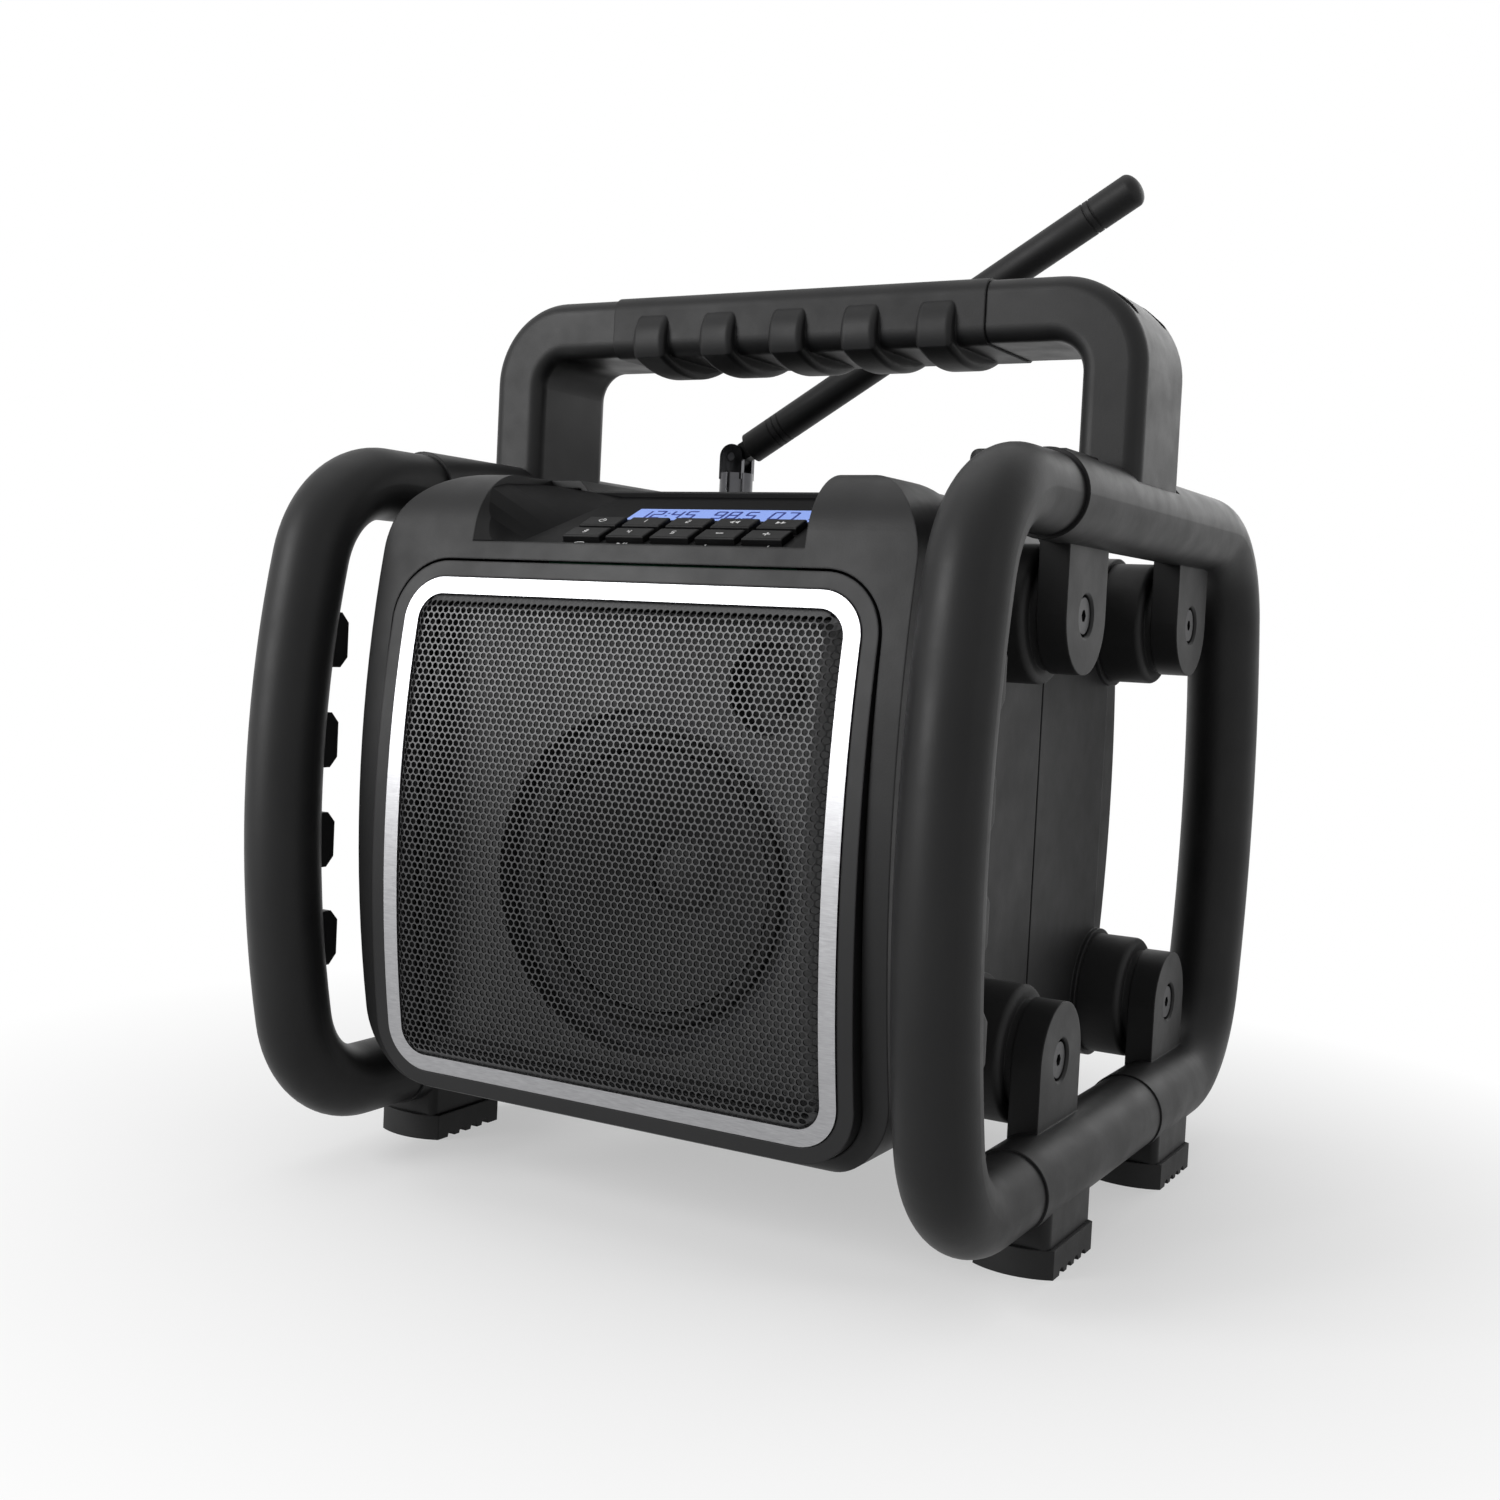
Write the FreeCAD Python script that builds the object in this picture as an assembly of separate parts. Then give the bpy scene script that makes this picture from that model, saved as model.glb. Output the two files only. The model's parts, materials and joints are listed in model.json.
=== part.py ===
import FreeCAD, Part
import math
import os
from FreeCAD import Vector as V

os.makedirs("parts", exist_ok=True)

# Driving dimensions, all in millimetres. The radio faces -Y and +Z is up.
# The origin is on the floor, below the middle of the roll cage.

# Roll cage
loop_half_gap = 131.3
loop_top_z = 264.2
loop_bottom_z = 29.9
frame_tube_r = 15.4
front_bar_y = -160.0
rear_bar_y = 158.5
bar_bow = 18.0
front_bend_r = 39.0
rear_bend_r = 45.0
front_joint_y = -87.7
rear_joint_y = 41.7
grip_r = 14.0
core_r = 9.5
core_wall = 2.0
spigot_length = 26.0
grip_pad_length = 20.6
grip_pad_pitch = 37.5
grip_pad_count = 4
grip_pad_proud = 3.8
grip_pad_half_width = 9.0
slip_gap = 0.05

# Rubber mounts between cage and radio
mount_front_y = -44.0
mount_rear_y = 91.2
mount_top_z = 224.9
mount_bottom_z = 66.9
lug_r = 21.0
lug_thickness = 11.0
lug_outer_x = 133.0
hood_inner_x = 95.0
hood_low_z = 260.0
hood_high_z = 281.0
hood_front_y = -70.0
hood_length = 34.0
damper_r = 25.0
damper_neck_r = 20.0
damper_neck_length = 3.0
damper_edge_r = 2.5
stud_r = 4.0
stud_plate_r = 18.0
stud_plate_thickness = 2.0
bolt_head_r = 6.5
bolt_head_length = 7.0
bolt_recess_r = 7.5
bolt_seat_depth = 7.0
recess_chamfer = 0.8
washer_thickness = 1.2
hex_across = 4.0
thread_depth = 8.0

# Feet
foot_block_length = 44.0
foot_block_half_width = 13.0
foot_front_y = -80.0
foot_rear_y = 46.0
foot_height = 10.0
foot_half_width = 14.5
foot_length = 40.0
foot_nose = 4.0
foot_groove_pitch = 7.6
foot_groove_r = 2.2
foot_groove_count = 4
foot_screw_r = 2.5
foot_screw_head_r = 5.0
foot_screw_reach = 9.5

# Carry handle
handle_top_z = 349.0
handle_bar_height = 23.6
handle_leg_width = 24.0
handle_half_depth = 27.0
handle_outer_r = 34.0
handle_inner_r = 12.0
handle_edge = 6.0
handle_grip_half = 82.0
handle_grip_proud = 0.8
handle_grip_wall = 3.0
ridge_count = 5
ridge_pitch = 31.5
ridge_width = 15.0
ridge_proud = 3.4
ridge_top_drop = 7.0
ridge_dip = 7.0
ridge_edge = 2.5
handle_screw_depth = 30.0
handle_screw_head_r = 5.3
handle_screw_r = 3.0
handle_screw_spacing = 35.0

# Radio casing
casing_bottom_z = 36.0
casing_top_z = 268.0
front_half_width = 108.0
rear_half_width = 99.0
corner_r = 30.0
casing_wall = 3.0
casing_front_y = -145.0
casing_rear_y = 108.0
front_face_r = 430.0
rear_face_r = 360.0
front_seam_y = -88.0
rear_seam_y = 10.0
top_front_r = 26.0
top_rear_r = 20.0
bottom_edge_r = 10.0
gasket_thickness = 1.6
valley_half = 50.0
valley_depth = 4.0
side_boss_r = 27.0
side_boss_depth = 12.0
rear_step_y = 91.6
rear_step_depth = 1.2
rear_step_low_z = 86.0
rear_step_high_z = 216.0
screw_post_x = 88.5
screw_post_low_z = 102.0
screw_post_high_z = 192.0
screw_post_r = 8.0
casing_screw_r = 2.0
casing_screw_head_r = 4.0
front_post_depth = 40.0

# Front
frame_outer_half = 92.5
frame_low_z = 46.6
frame_high_z = 228.7
frame_corner_r = 16.0
frame_band = 6.3
frame_proud = 3.6
frame_depth = 6.0
bezel_width = 5.7
bezel_gap = 0.3
bezel_proud = 3.0
bezel_depth = 9.5
bezel_clearance = 0.6
mesh_proud = 6.6
mesh_thickness = 1.0
mesh_slope = 4.0
mesh_hole_pitch = 10.4
mesh_hole_r = 3.9
baffle_setback = 20.0
baffle_thickness = 8.0

# Speakers
woofer_x = 4.0
woofer_z = 124.0
woofer_r = 65.0
woofer_cone_r = 52.0
woofer_depth = 48.0
woofer_travel = 3.0
magnet_r = 35.0
magnet_height = 16.0
coil_r = 15.0
tweeter_x = 52.0
tweeter_z = 195.0
tweeter_r = 20.0
tweeter_depth = 22.0
running_gap = 0.4

# Control panel, in its own slope frame: across, up the slope and out of the panel
panel_front_y = -135.3
panel_front_z = 241.9
panel_slope = 24.0
panel_half = 67.5
panel_length = 54.0
panel_thickness = 2.5
panel_recess = 1.2
scoop_front_x = -49.5
scoop_rear_x = -35.0
scoop_sections = (0.0, 0.1, 0.2, 0.33, 0.5, 0.75, 1.0)
button_first_x = -23.4
button_pitch = 18.1
button_columns = 5
button_front_row = 8.8
button_row_pitch = 11.0
button_width = 15.4
button_length = 8.4
button_proud = 2.4
button_gap = 0.4
button_flange = 0.8
button_flange_thickness = 2.0
button_travel = 1.0
switch_size = 6.0
switch_height = 1.6
board_thickness = 1.6
display_left = -19.0
display_right = 59.0
display_front = 27.5
display_length = 11.5
display_thickness = 1.6
module_thickness = 5.0

# Antenna
antenna_x = -88.0
antenna_y = 92.0
antenna_elbow_z = 295.6
antenna_socket_r = 8.0
antenna_socket_z = 266.0
antenna_coupler_r = 7.9
antenna_whip_r = 7.4
antenna_length = 220.0
antenna_lean = 58.9
antenna_ear = 2.6
antenna_tongue = 6.6
antenna_knuckle_r = 6.0
antenna_pin_r = 2.0
antenna_side_gap = 0.3
antenna_stem_r = 3.5

# Back
door_half = 58.0
door_low_z = 58.0
door_high_z = 128.0
door_gap = 0.4
door_hinge_gap = 0.6
door_hinge_r = 3.2
door_pin_r = 1.5
door_lug_width = 8.0
latch_half = 12.0
latch_length = 12.0
latch_travel = 4.0
cell_r = 16.4
cell_length = 60.0
cell_gap = 0.3
cell_columns = 3
cell_rows = 2
box_wall = 2.0
socket_x = 45.0
socket_z = 180.0
socket_half_x = 24.0
socket_half_z = 13.0
socket_thickness = 3.0
socket_corner_r = 2.0
socket_side_gap = 1.2
cover_thickness = 2.2
cover_hinge_r = 1.8
inlet_r = 3.2
inlet_pin_r = 1.0
jack_r = 1.8
main_board_half = 50.0
standoff_r = 3.0
standoff_height = 8.0

# Values worked out from the dimensions above
loop_mid_z = (loop_top_z + loop_bottom_z) / 2
loop_half_height = (loop_top_z - loop_bottom_z) / 2
face_mid_z = (frame_low_z + frame_high_z) / 2
lug_inner_x = lug_outer_x - lug_thickness


def save(name, shape):
    """Write one sub-part, as one solid or a group of separate solids."""
    shape = shape.removeSplitter() if shape.ShapeType != "Compound" else shape
    assert shape.isValid(), name
    shape.exportStep("parts/" + name + ".step")
    print(name, len(shape.Solids), round(shape.Volume / 1000, 2), "cm3")
    return shape


def single(shape):
    """The largest solid of a shape, so that no stray chip is kept."""
    return max(shape.Solids, key=lambda solid: solid.Volume)


def group(shapes):
    return Part.makeCompound([solid for shape in shapes for solid in shape.Solids])


def box(x0, x1, y0, y1, z0, z1):
    low = V(min(x0, x1), min(y0, y1), min(z0, z1))
    return Part.makeBox(abs(x1 - x0), abs(y1 - y0), abs(z1 - z0), low)


def rod(start, axis, radius, length):
    return Part.makeCylinder(radius, length, start, axis)


def rod_x(x0, x1, y, z, radius):
    return rod(V(min(x0, x1), y, z), V(1, 0, 0), radius, abs(x1 - x0))


def rod_y(y0, y1, x, z, radius):
    return rod(V(x, min(y0, y1), z), V(0, 1, 0), radius, abs(y1 - y0))


def rod_z(z0, z1, x, y, radius):
    return rod(V(x, y, min(z0, z1)), V(0, 0, 1), radius, abs(z1 - z0))


def round_rect(x0, x1, z0, z1, radius, y):
    """A closed wire in an XZ plane with round corners."""
    edges = []
    half = radius * math.sqrt(0.5)
    corners = [(x1 - radius, z1 - radius, 1, 1), (x0 + radius, z1 - radius, -1, 1),
               (x0 + radius, z0 + radius, -1, -1), (x1 - radius, z0 + radius, 1, -1)]
    arcs = []
    for index, (cx, cz, sx, sz) in enumerate(corners):
        side = V(cx + sx * radius, y, cz)
        end = V(cx, y, cz + sz * radius)
        middle = V(cx + sx * half, y, cz + sz * half)
        first, last = (side, end) if index % 2 == 0 else (end, side)
        arcs.append((first, middle, last))
    for index, (first, middle, last) in enumerate(arcs):
        edges.append(Part.Arc(first, middle, last).toShape())
        edges.append(Part.LineSegment(last, arcs[(index + 1) % 4][0]).toShape())
    return Part.Wire(edges)


def plate(x0, x1, z0, z1, radius, y0, y1):
    """A rounded plate that runs along Y."""
    face = Part.Face(round_rect(x0, x1, z0, z1, radius, min(y0, y1)))
    return face.extrude(V(0, abs(y1 - y0), 0))


def arc_depth(radius, height):
    """How far an arc of this radius falls back at a height above its middle."""
    return radius - math.sqrt(radius * radius - height * height)


def behind_front(y_mid, radius, half_width, rear_y=0.0):
    """Everything behind a convex front that is straight along X."""
    top = 150.0
    fall = arc_depth(radius, top)
    z_mid = face_mid_z
    arc = Part.Arc(V(-half_width, y_mid + fall, z_mid + top), V(-half_width, y_mid, z_mid),
                   V(-half_width, y_mid + fall, z_mid - top)).toShape()
    corners = [V(-half_width, y_mid + fall, z_mid - top), V(-half_width, rear_y, z_mid - top),
               V(-half_width, rear_y, z_mid + top), V(-half_width, y_mid + fall, z_mid + top)]
    face = Part.Face(Part.Wire([arc, Part.makePolygon(corners)]))
    return face.extrude(V(2 * half_width, 0, 0))


def casing_profile(inset):
    """The casing seen from the side, drawn out along X, with its long edges rounded."""
    low = casing_bottom_z + inset
    high = casing_top_z - inset
    mid = (casing_bottom_z + casing_top_z) / 2
    front = casing_front_y + inset
    rear = casing_rear_y - inset
    half = (high - low) / 2
    front_fall = arc_depth(front_face_r, half)
    rear_fall = arc_depth(rear_face_r, half)
    x = -front_half_width - 5
    a = V(x, front + front_fall, low)
    b = V(x, front + front_fall, high)
    c = V(x, rear - rear_fall, high)
    d = V(x, rear - rear_fall, low)
    wire = Part.Wire([Part.Arc(a, V(x, front, mid), b).toShape(), Part.LineSegment(b, c).toShape(),
                      Part.Arc(c, V(x, rear, mid), d).toShape(), Part.LineSegment(d, a).toShape()])
    solid = Part.Face(wire).extrude(V(-2 * x, 0, 0))
    for corner, radius in ((b, top_front_r), (c, top_rear_r), (a, bottom_edge_r), (d, bottom_edge_r)):
        edges = [e for e in solid.Edges if len(e.Vertexes) == 2
                 and all(abs(p.Point.y - corner.y) < 0.01 and abs(p.Point.z - corner.z) < 0.01
                         for p in e.Vertexes)]
        solid = solid.makeFillet(max(radius - inset, 1.0), edges)
    return solid


def casing_block(half_width, inset):
    """The whole casing as one block, shrunk by an inset for its inside."""
    block = plate(-half_width + inset, half_width - inset, casing_bottom_z + inset,
                  casing_top_z - inset, corner_r - inset, casing_front_y - 5, casing_rear_y + 5)
    return block.common(casing_profile(inset))


def on_panel(shape):
    """Move a shape from the panel's own frame to its place on the slope."""
    moved = shape.copy()
    moved.rotate(V(0, 0, 0), V(1, 0, 0), panel_slope)
    moved.translate(V(0, panel_front_y, panel_front_z))
    return moved


def valley(extra):
    """The low middle of the top: the panel's slope, and the flat behind its ridge."""
    ridge_y = panel_front_y + panel_length * math.cos(math.radians(panel_slope))
    ridge_z = casing_top_z - valley_depth - extra
    wide = panel_half + 6
    slope = on_panel(box(-panel_half - extra, panel_half + extra, -30, panel_length + 12, -extra, 60))
    flat_points = [V(-valley_half - 12, ridge_y - 30, ridge_z + 12), V(-valley_half, ridge_y - 30, ridge_z),
                   V(valley_half, ridge_y - 30, ridge_z), V(valley_half + 12, ridge_y - 30, ridge_z + 12)]
    flat = Part.Face(Part.makePolygon(flat_points + flat_points[:1])).extrude(V(0, 260, 0))
    limit = box(-wide, wide, casing_front_y - 20, ridge_y + 12, ridge_z - 60, ridge_z + 60)
    return slope.common(limit), flat


def side_bosses(y):
    """The round seats of the rubber mounts on both casing sides at one Y."""
    seats = []
    for z in (mount_top_z, mount_bottom_z):
        for side in (-1, 1):
            face_x = side * (rear_half_width + stud_plate_thickness)
            seat = rod_x(side * (rear_half_width - side_boss_depth), face_x, y, z, side_boss_r)
            seats.append(seat.cut(rod_x(side * rear_half_width, face_x + side, y, z, stud_plate_r + slip_gap)))
    return seats


def stud_holes(y):
    depth = side_boss_depth + 4
    return [rod_x(side * (rear_half_width - depth), side * rear_half_width, y, z, stud_r)
            for z in (mount_top_z, mount_bottom_z) for side in (-1, 1)]


def posts(y0, y1, radius):
    return [rod_y(y0, y1, side * screw_post_x, z, radius)
            for side in (-1, 1) for z in (screw_post_low_z, screw_post_high_z)]


# Roll cage tubes

def loop_path(side, bar_y, bend_r, upper_y, lower_y):
    """Centre line of one end of a side loop: along the top bar, down and back."""
    x = side * loop_half_gap
    sign = 1 if bar_y > 0 else -1
    big_r = (loop_half_height ** 2 + bar_bow ** 2) / (2 * bar_bow)
    centre_y = bar_y - sign * big_r
    dz = loop_half_height - bend_r
    bend_y = centre_y + sign * math.sqrt((big_r - bend_r) ** 2 - dz ** 2)
    reach = big_r / (big_r - bend_r)
    touch_y = centre_y + (bend_y - centre_y) * reach
    touch_dz = dz * reach
    angle = (math.pi / 2 + math.atan2(dz, abs(bend_y - centre_y))) / 2
    mid_y = bend_y + sign * bend_r * math.cos(angle)
    mid_dz = dz + bend_r * math.sin(angle)
    top = V(x, bend_y, loop_top_z)
    edges = [Part.LineSegment(V(x, upper_y, loop_top_z), top).toShape()]
    edges.append(Part.Arc(top, V(x, mid_y, loop_mid_z + mid_dz),
                          V(x, touch_y, loop_mid_z + touch_dz)).toShape())
    edges.append(Part.Arc(V(x, touch_y, loop_mid_z + touch_dz), V(x, bar_y, loop_mid_z),
                          V(x, touch_y, loop_mid_z - touch_dz)).toShape())
    low = V(x, bend_y, loop_bottom_z)
    edges.append(Part.Arc(V(x, touch_y, loop_mid_z - touch_dz), V(x, mid_y, loop_mid_z - mid_dz),
                          low).toShape())
    edges.append(Part.LineSegment(low, V(x, lower_y, loop_bottom_z)).toShape())
    return Part.Wire(edges)


def tube(path, start, radius):
    ring = Part.Wire(Part.makeCircle(radius, start, V(0, 1, 0)))
    return path.makePipeShell([ring], True, False)


def mount_lug(side, y, z, bar_z):
    """A flat lug with a round end that joins a bar to a rubber mount."""
    x0, x1 = sorted((side * lug_inner_x, side * lug_outer_x))
    arm = box(x0, x1, y - lug_r, y + lug_r, z, bar_z)
    return arm.fuse(rod_x(x0, x1, y, z, lug_r))


def bar_hood():
    """The block on the inner side of the right top bar only, above its front mount."""
    block = box(hood_inner_x, loop_half_gap, hood_front_y, hood_front_y + hood_length,
                hood_low_z, hood_high_z)
    edges = [e for e in block.Edges if abs(e.CenterOfMass.x - hood_inner_x) < 0.1]
    return block.makeFillet(5.0, edges)


def mount_holes(side, y, z):
    """The bolt's clearance hole and its counterbore in a lug."""
    through = rod_x(side * (lug_inner_x - 1), side * (lug_outer_x + 1), y, z, stud_r + slip_gap)
    recess = rod_x(side * (lug_outer_x - bolt_seat_depth - washer_thickness), side * (lug_outer_x + 4),
                   y, z, bolt_recess_r)
    chamfer = Part.makeCone(bolt_recess_r + recess_chamfer + 1, bolt_recess_r, recess_chamfer + 1,
                            V(side * (lug_outer_x + 1), y, z), V(-side, 0, 0))
    return through.fuse(recess).fuse(chamfer)


def foot_block(side, y0):
    """The block under a bottom bar that holds a rubber foot."""
    x = side * loop_half_gap
    block = box(x - foot_block_half_width, x + foot_block_half_width, y0, y0 + foot_block_length,
                foot_height, loop_bottom_z)
    edges = [e for e in block.Edges if abs(e.CenterOfMass.z - (loop_bottom_z + foot_height) / 2) < 0.1]
    return block.makeFillet(3.0, edges)


def foot_hole(side, y0):
    x = side * loop_half_gap
    y = y0 + foot_block_length / 2
    return rod_z(foot_height - 1, foot_height + foot_screw_reach + 0.5, x, y, foot_screw_r)


def upper_frame(side):
    """Top bar, rear bar and rear end of the bottom bar, with three mount lugs and a foot block."""
    x = side * loop_half_gap
    path = loop_path(side, rear_bar_y, rear_bend_r, front_joint_y, rear_joint_y)
    body = tube(path, V(x, front_joint_y, loop_top_z), frame_tube_r)
    for y, z, bar_z in ((mount_front_y, mount_top_z, loop_top_z),
                        (mount_rear_y, mount_top_z, loop_top_z),
                        (mount_rear_y, mount_bottom_z, loop_bottom_z)):
        body = body.fuse(mount_lug(side, y, z, bar_z))
    if side > 0:
        body = body.fuse(bar_hood())
    body = body.fuse(foot_block(side, foot_rear_y))
    for y, z in ((mount_front_y, mount_top_z), (mount_rear_y, mount_top_z),
                 (mount_rear_y, mount_bottom_z)):
        body = body.cut(mount_holes(side, y, z))
    body = body.cut(foot_hole(side, foot_rear_y))
    body = body.cut(rod_y(front_joint_y - 1, front_joint_y + spigot_length, x, loop_top_z,
                          core_r))
    body = body.cut(rod_y(rear_joint_y - 1, rear_joint_y + spigot_length, x, loop_bottom_z,
                          core_r))
    body = body.cut(handle_leg_tool(side))
    return single(body)


def lower_link(side):
    """Bottom bar from the front grip to the rear frame, with one mount lug and a foot block."""
    x = side * loop_half_gap
    body = rod_y(front_joint_y, rear_joint_y, x, loop_bottom_z, frame_tube_r - 0.6)
    body = body.fuse(mount_lug(side, mount_front_y, mount_bottom_z, loop_bottom_z))
    body = body.fuse(foot_block(side, foot_front_y))
    body = body.fuse(rod_y(rear_joint_y, rear_joint_y + spigot_length, x, loop_bottom_z,
                           core_r - slip_gap))
    body = body.cut(mount_holes(side, mount_front_y, mount_bottom_z))
    body = body.cut(foot_hole(side, foot_front_y))
    body = body.cut(rod_y(front_joint_y - 1, front_joint_y + spigot_length, x, loop_bottom_z,
                          core_r))
    return single(body)


def front_grip(side):
    """Soft grip over the steel core, with pads on its rear inner side."""
    x = side * loop_half_gap
    path = loop_path(side, front_bar_y, front_bend_r, front_joint_y, front_joint_y)
    body = tube(path, V(x, front_joint_y, loop_top_z), grip_r)
    big_r = (loop_half_height ** 2 + bar_bow ** 2) / (2 * bar_bow)
    for index in range(grip_pad_count):
        z = loop_mid_z + (index - (grip_pad_count - 1) / 2) * grip_pad_pitch
        y = front_bar_y + arc_depth(big_r, z - loop_mid_z)
        rear = y + grip_r + grip_pad_proud
        half = grip_pad_length / 2
        bevel = grip_pad_proud
        x0 = x - grip_pad_half_width
        points = [V(x0, y, z - half), V(x0, rear - bevel, z - half), V(x0, rear, z - half + bevel),
                  V(x0, rear, z + half - bevel), V(x0, rear - bevel, z + half), V(x0, y, z + half)]
        pad = Part.Face(Part.makePolygon(points + points[:1])).extrude(V(2 * grip_pad_half_width, 0, 0))
        body = body.fuse(pad)
    core = tube(path, V(x, front_joint_y, loop_top_z), core_r)
    return single(body.cut(core))


def grip_core(side):
    """Steel tube inside the front grip, with its ends in the frame's sockets."""
    x = side * loop_half_gap
    end = front_joint_y + spigot_length
    path = loop_path(side, front_bar_y, front_bend_r, end, end)
    outer = tube(path, V(x, end, loop_top_z), core_r)
    inner = tube(path, V(x, end, loop_top_z), core_r - core_wall)
    return single(outer.cut(inner))


# Carry handle

def handle_outline(y0, y1):
    """The arch of the carry handle between two Y values."""
    half = loop_half_gap + handle_leg_width / 2
    inner = loop_half_gap - handle_leg_width / 2
    top = handle_top_z
    under = handle_top_z - handle_bar_height
    base = loop_top_z
    outer_shape = plate(-half, half, base - 80, top, handle_outer_r, y0, y1)
    inner_shape = plate(-inner, inner, base - 90, under, handle_inner_r, y0 - 1, y1 + 1)
    keep = box(-half - 1, half + 1, y0, y1, base, top + 1)
    return outer_shape.cut(inner_shape).common(keep)


def handle_leg_tool(side):
    """The seat that a handle leg takes in the top bar."""
    inner = loop_half_gap - handle_leg_width / 2
    outer = loop_half_gap + handle_leg_width / 2
    return box(side * inner, side * outer, -handle_half_depth, handle_half_depth,
               loop_top_z, loop_top_z + frame_tube_r + 5)


def carry_handle():
    """One arch: two wide legs on the top bars and a cross bar, with rounded edges."""
    arch = handle_outline(-handle_half_depth, handle_half_depth)
    edges = []
    for edge in arch.Edges:
        depths = [abs(vertex.Point.y) for vertex in edge.Vertexes]
        if min(depths) > handle_half_depth - 0.01 and abs(edge.CenterOfMass.z - loop_top_z) > 0.5:
            if abs(edge.Vertexes[0].Point.y - edge.Vertexes[-1].Point.y) < 0.01:
                edges.append(edge)
    arch = arch.makeFillet(handle_edge, edges)
    arch = single(arch.cut(grip_sleeve(handle_grip_wall - handle_grip_proud)))
    for tool in screw_places():
        arch = arch.cut(tool)
    return single(arch)


def bar_block(grow, half_length):
    """The cross bar's rounded section drawn out along X, grown all round."""
    y = handle_half_depth + grow
    block = box(-half_length, half_length, -y, y, handle_top_z - handle_bar_height - grow, handle_top_z + grow)
    long_edges = [e for e in block.Edges if abs(e.CenterOfMass.x) < 0.01]
    return block.makeFillet(handle_edge + grow, long_edges)


def grip_sleeve(depth):
    """The ring of space that the soft grip takes round the cross bar."""
    outer = bar_block(4, handle_grip_half)
    inner = bar_block(-depth, handle_grip_half + 1)
    return outer.cut(inner)


def finger_ridge(x):
    """One ridge: a bulge down the front of the bar and a crescent underneath, with round sides."""
    face_y = -handle_half_depth - handle_grip_proud
    high = handle_top_z - ridge_top_drop
    low = handle_top_z - handle_bar_height - handle_grip_proud
    heel = V(x, handle_half_depth - 3, low + 1)
    toe = V(x, face_y - ridge_proud + 1, low - 1)
    brow = V(x, face_y + 1, high)
    path = [Part.Arc(brow, V(x, face_y - ridge_proud, (high + low) / 2 + 2), toe).toShape(),
            Part.Arc(toe, V(x, -4, low - ridge_dip + 1), heel).toShape(),
            Part.makePolygon([heel, V(x, 0, high), brow])]
    ridge = Part.Face(Part.Wire(path)).extrude(V(ridge_width, 0, 0))
    rims = [e for e in ridge.Edges if e.Curve.TypeId == "Part::GeomCircle"]
    return ridge.makeFillet(ridge_edge, rims)


def handle_grip():
    """Soft grip moulded round the cross bar, with finger ridges on the front and underneath."""
    outer = bar_block(handle_grip_proud, handle_grip_half)
    for index in range(ridge_count):
        x = (index - (ridge_count - 1) / 2) * ridge_pitch - ridge_width / 2
        outer = outer.fuse(finger_ridge(x))
    return single(outer.cut(bar_block(handle_grip_proud - handle_grip_wall, handle_grip_half + 1)))


def screw_places():
    """Recesses and shank holes for the handle screws, down through the legs."""
    tools = []
    for side in (-1, 1):
        for step in (-0.5, 0.5):
            y = step * handle_screw_spacing
            x = side * loop_half_gap
            head_z = handle_top_z - handle_screw_depth
            tools.append(rod_z(loop_top_z - 1, head_z, x, y, handle_screw_r))
            tools.append(rod_z(head_z, handle_top_z + 1, x, y, handle_screw_head_r + 0.2))
    return tools


def handle_screws():
    """Four long socket screws that hold the handle's legs to the top bars."""
    screws = []
    for side in (-1, 1):
        for step in (-0.5, 0.5):
            y = step * handle_screw_spacing
            x = side * loop_half_gap
            head_z = handle_top_z - handle_screw_depth
            shank = rod_z(loop_top_z, head_z, x, y, handle_screw_r)
            head = rod_z(head_z, head_z + 6, x, y, handle_screw_head_r)
            socket = hexagon_z(x, y, head_z + 3, head_z + 7, 5.0)
            screws.append(shank.fuse(head).cut(socket).removeSplitter())
    return group(screws)


def hexagon_z(x, y, z0, z1, across):
    r = across / math.sqrt(3)
    points = [V(x + r * math.cos(k * math.pi / 3), y + r * math.sin(k * math.pi / 3), z0) for k in range(7)]
    return Part.Face(Part.makePolygon(points)).extrude(V(0, 0, z1 - z0))


def hexagon_x(x0, x1, y, z, across):
    r = across / math.sqrt(3)
    points = [V(x0, y + r * math.cos(k * math.pi / 3), z + r * math.sin(k * math.pi / 3)) for k in range(7)]
    return Part.Face(Part.makePolygon(points)).extrude(V(x1 - x0, 0, 0))


# Feet, mounts and their fasteners

def rubber_foot(side, y0):
    """Rubber foot with bowed ends, grooves across its sole and a screw recess."""
    x = side * loop_half_gap
    y = y0 + (foot_block_length - foot_length) / 2
    x0 = x - foot_half_width
    x1 = x + foot_half_width
    y1 = y + foot_length
    outline = [Part.Arc(V(x0, y, 0), V(x, y - foot_nose, 0), V(x1, y, 0)).toShape(),
               Part.LineSegment(V(x1, y, 0), V(x1, y1, 0)).toShape(),
               Part.Arc(V(x1, y1, 0), V(x, y1 + foot_nose, 0), V(x0, y1, 0)).toShape(),
               Part.LineSegment(V(x0, y1, 0), V(x0, y, 0)).toShape()]
    foot = Part.Face(Part.Wire(outline)).extrude(V(0, 0, foot_height))
    first = y + foot_length / 2 - (foot_groove_count - 1) / 2 * foot_groove_pitch
    for index in range(foot_groove_count):
        groove_y = first + index * foot_groove_pitch
        for half in (-1, 1):
            start = x + half * (foot_half_width + 1)
            end = x + half * (foot_screw_head_r + 1.5)
            foot = foot.cut(rod_x(start, end, groove_y, 0, foot_groove_r))
    centre_y = y0 + foot_block_length / 2
    foot = foot.cut(rod_z(-1, 4, x, centre_y, foot_screw_head_r + 0.3))
    return single(foot.cut(rod_z(3, foot_height + 1, x, centre_y, foot_screw_r)))


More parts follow.
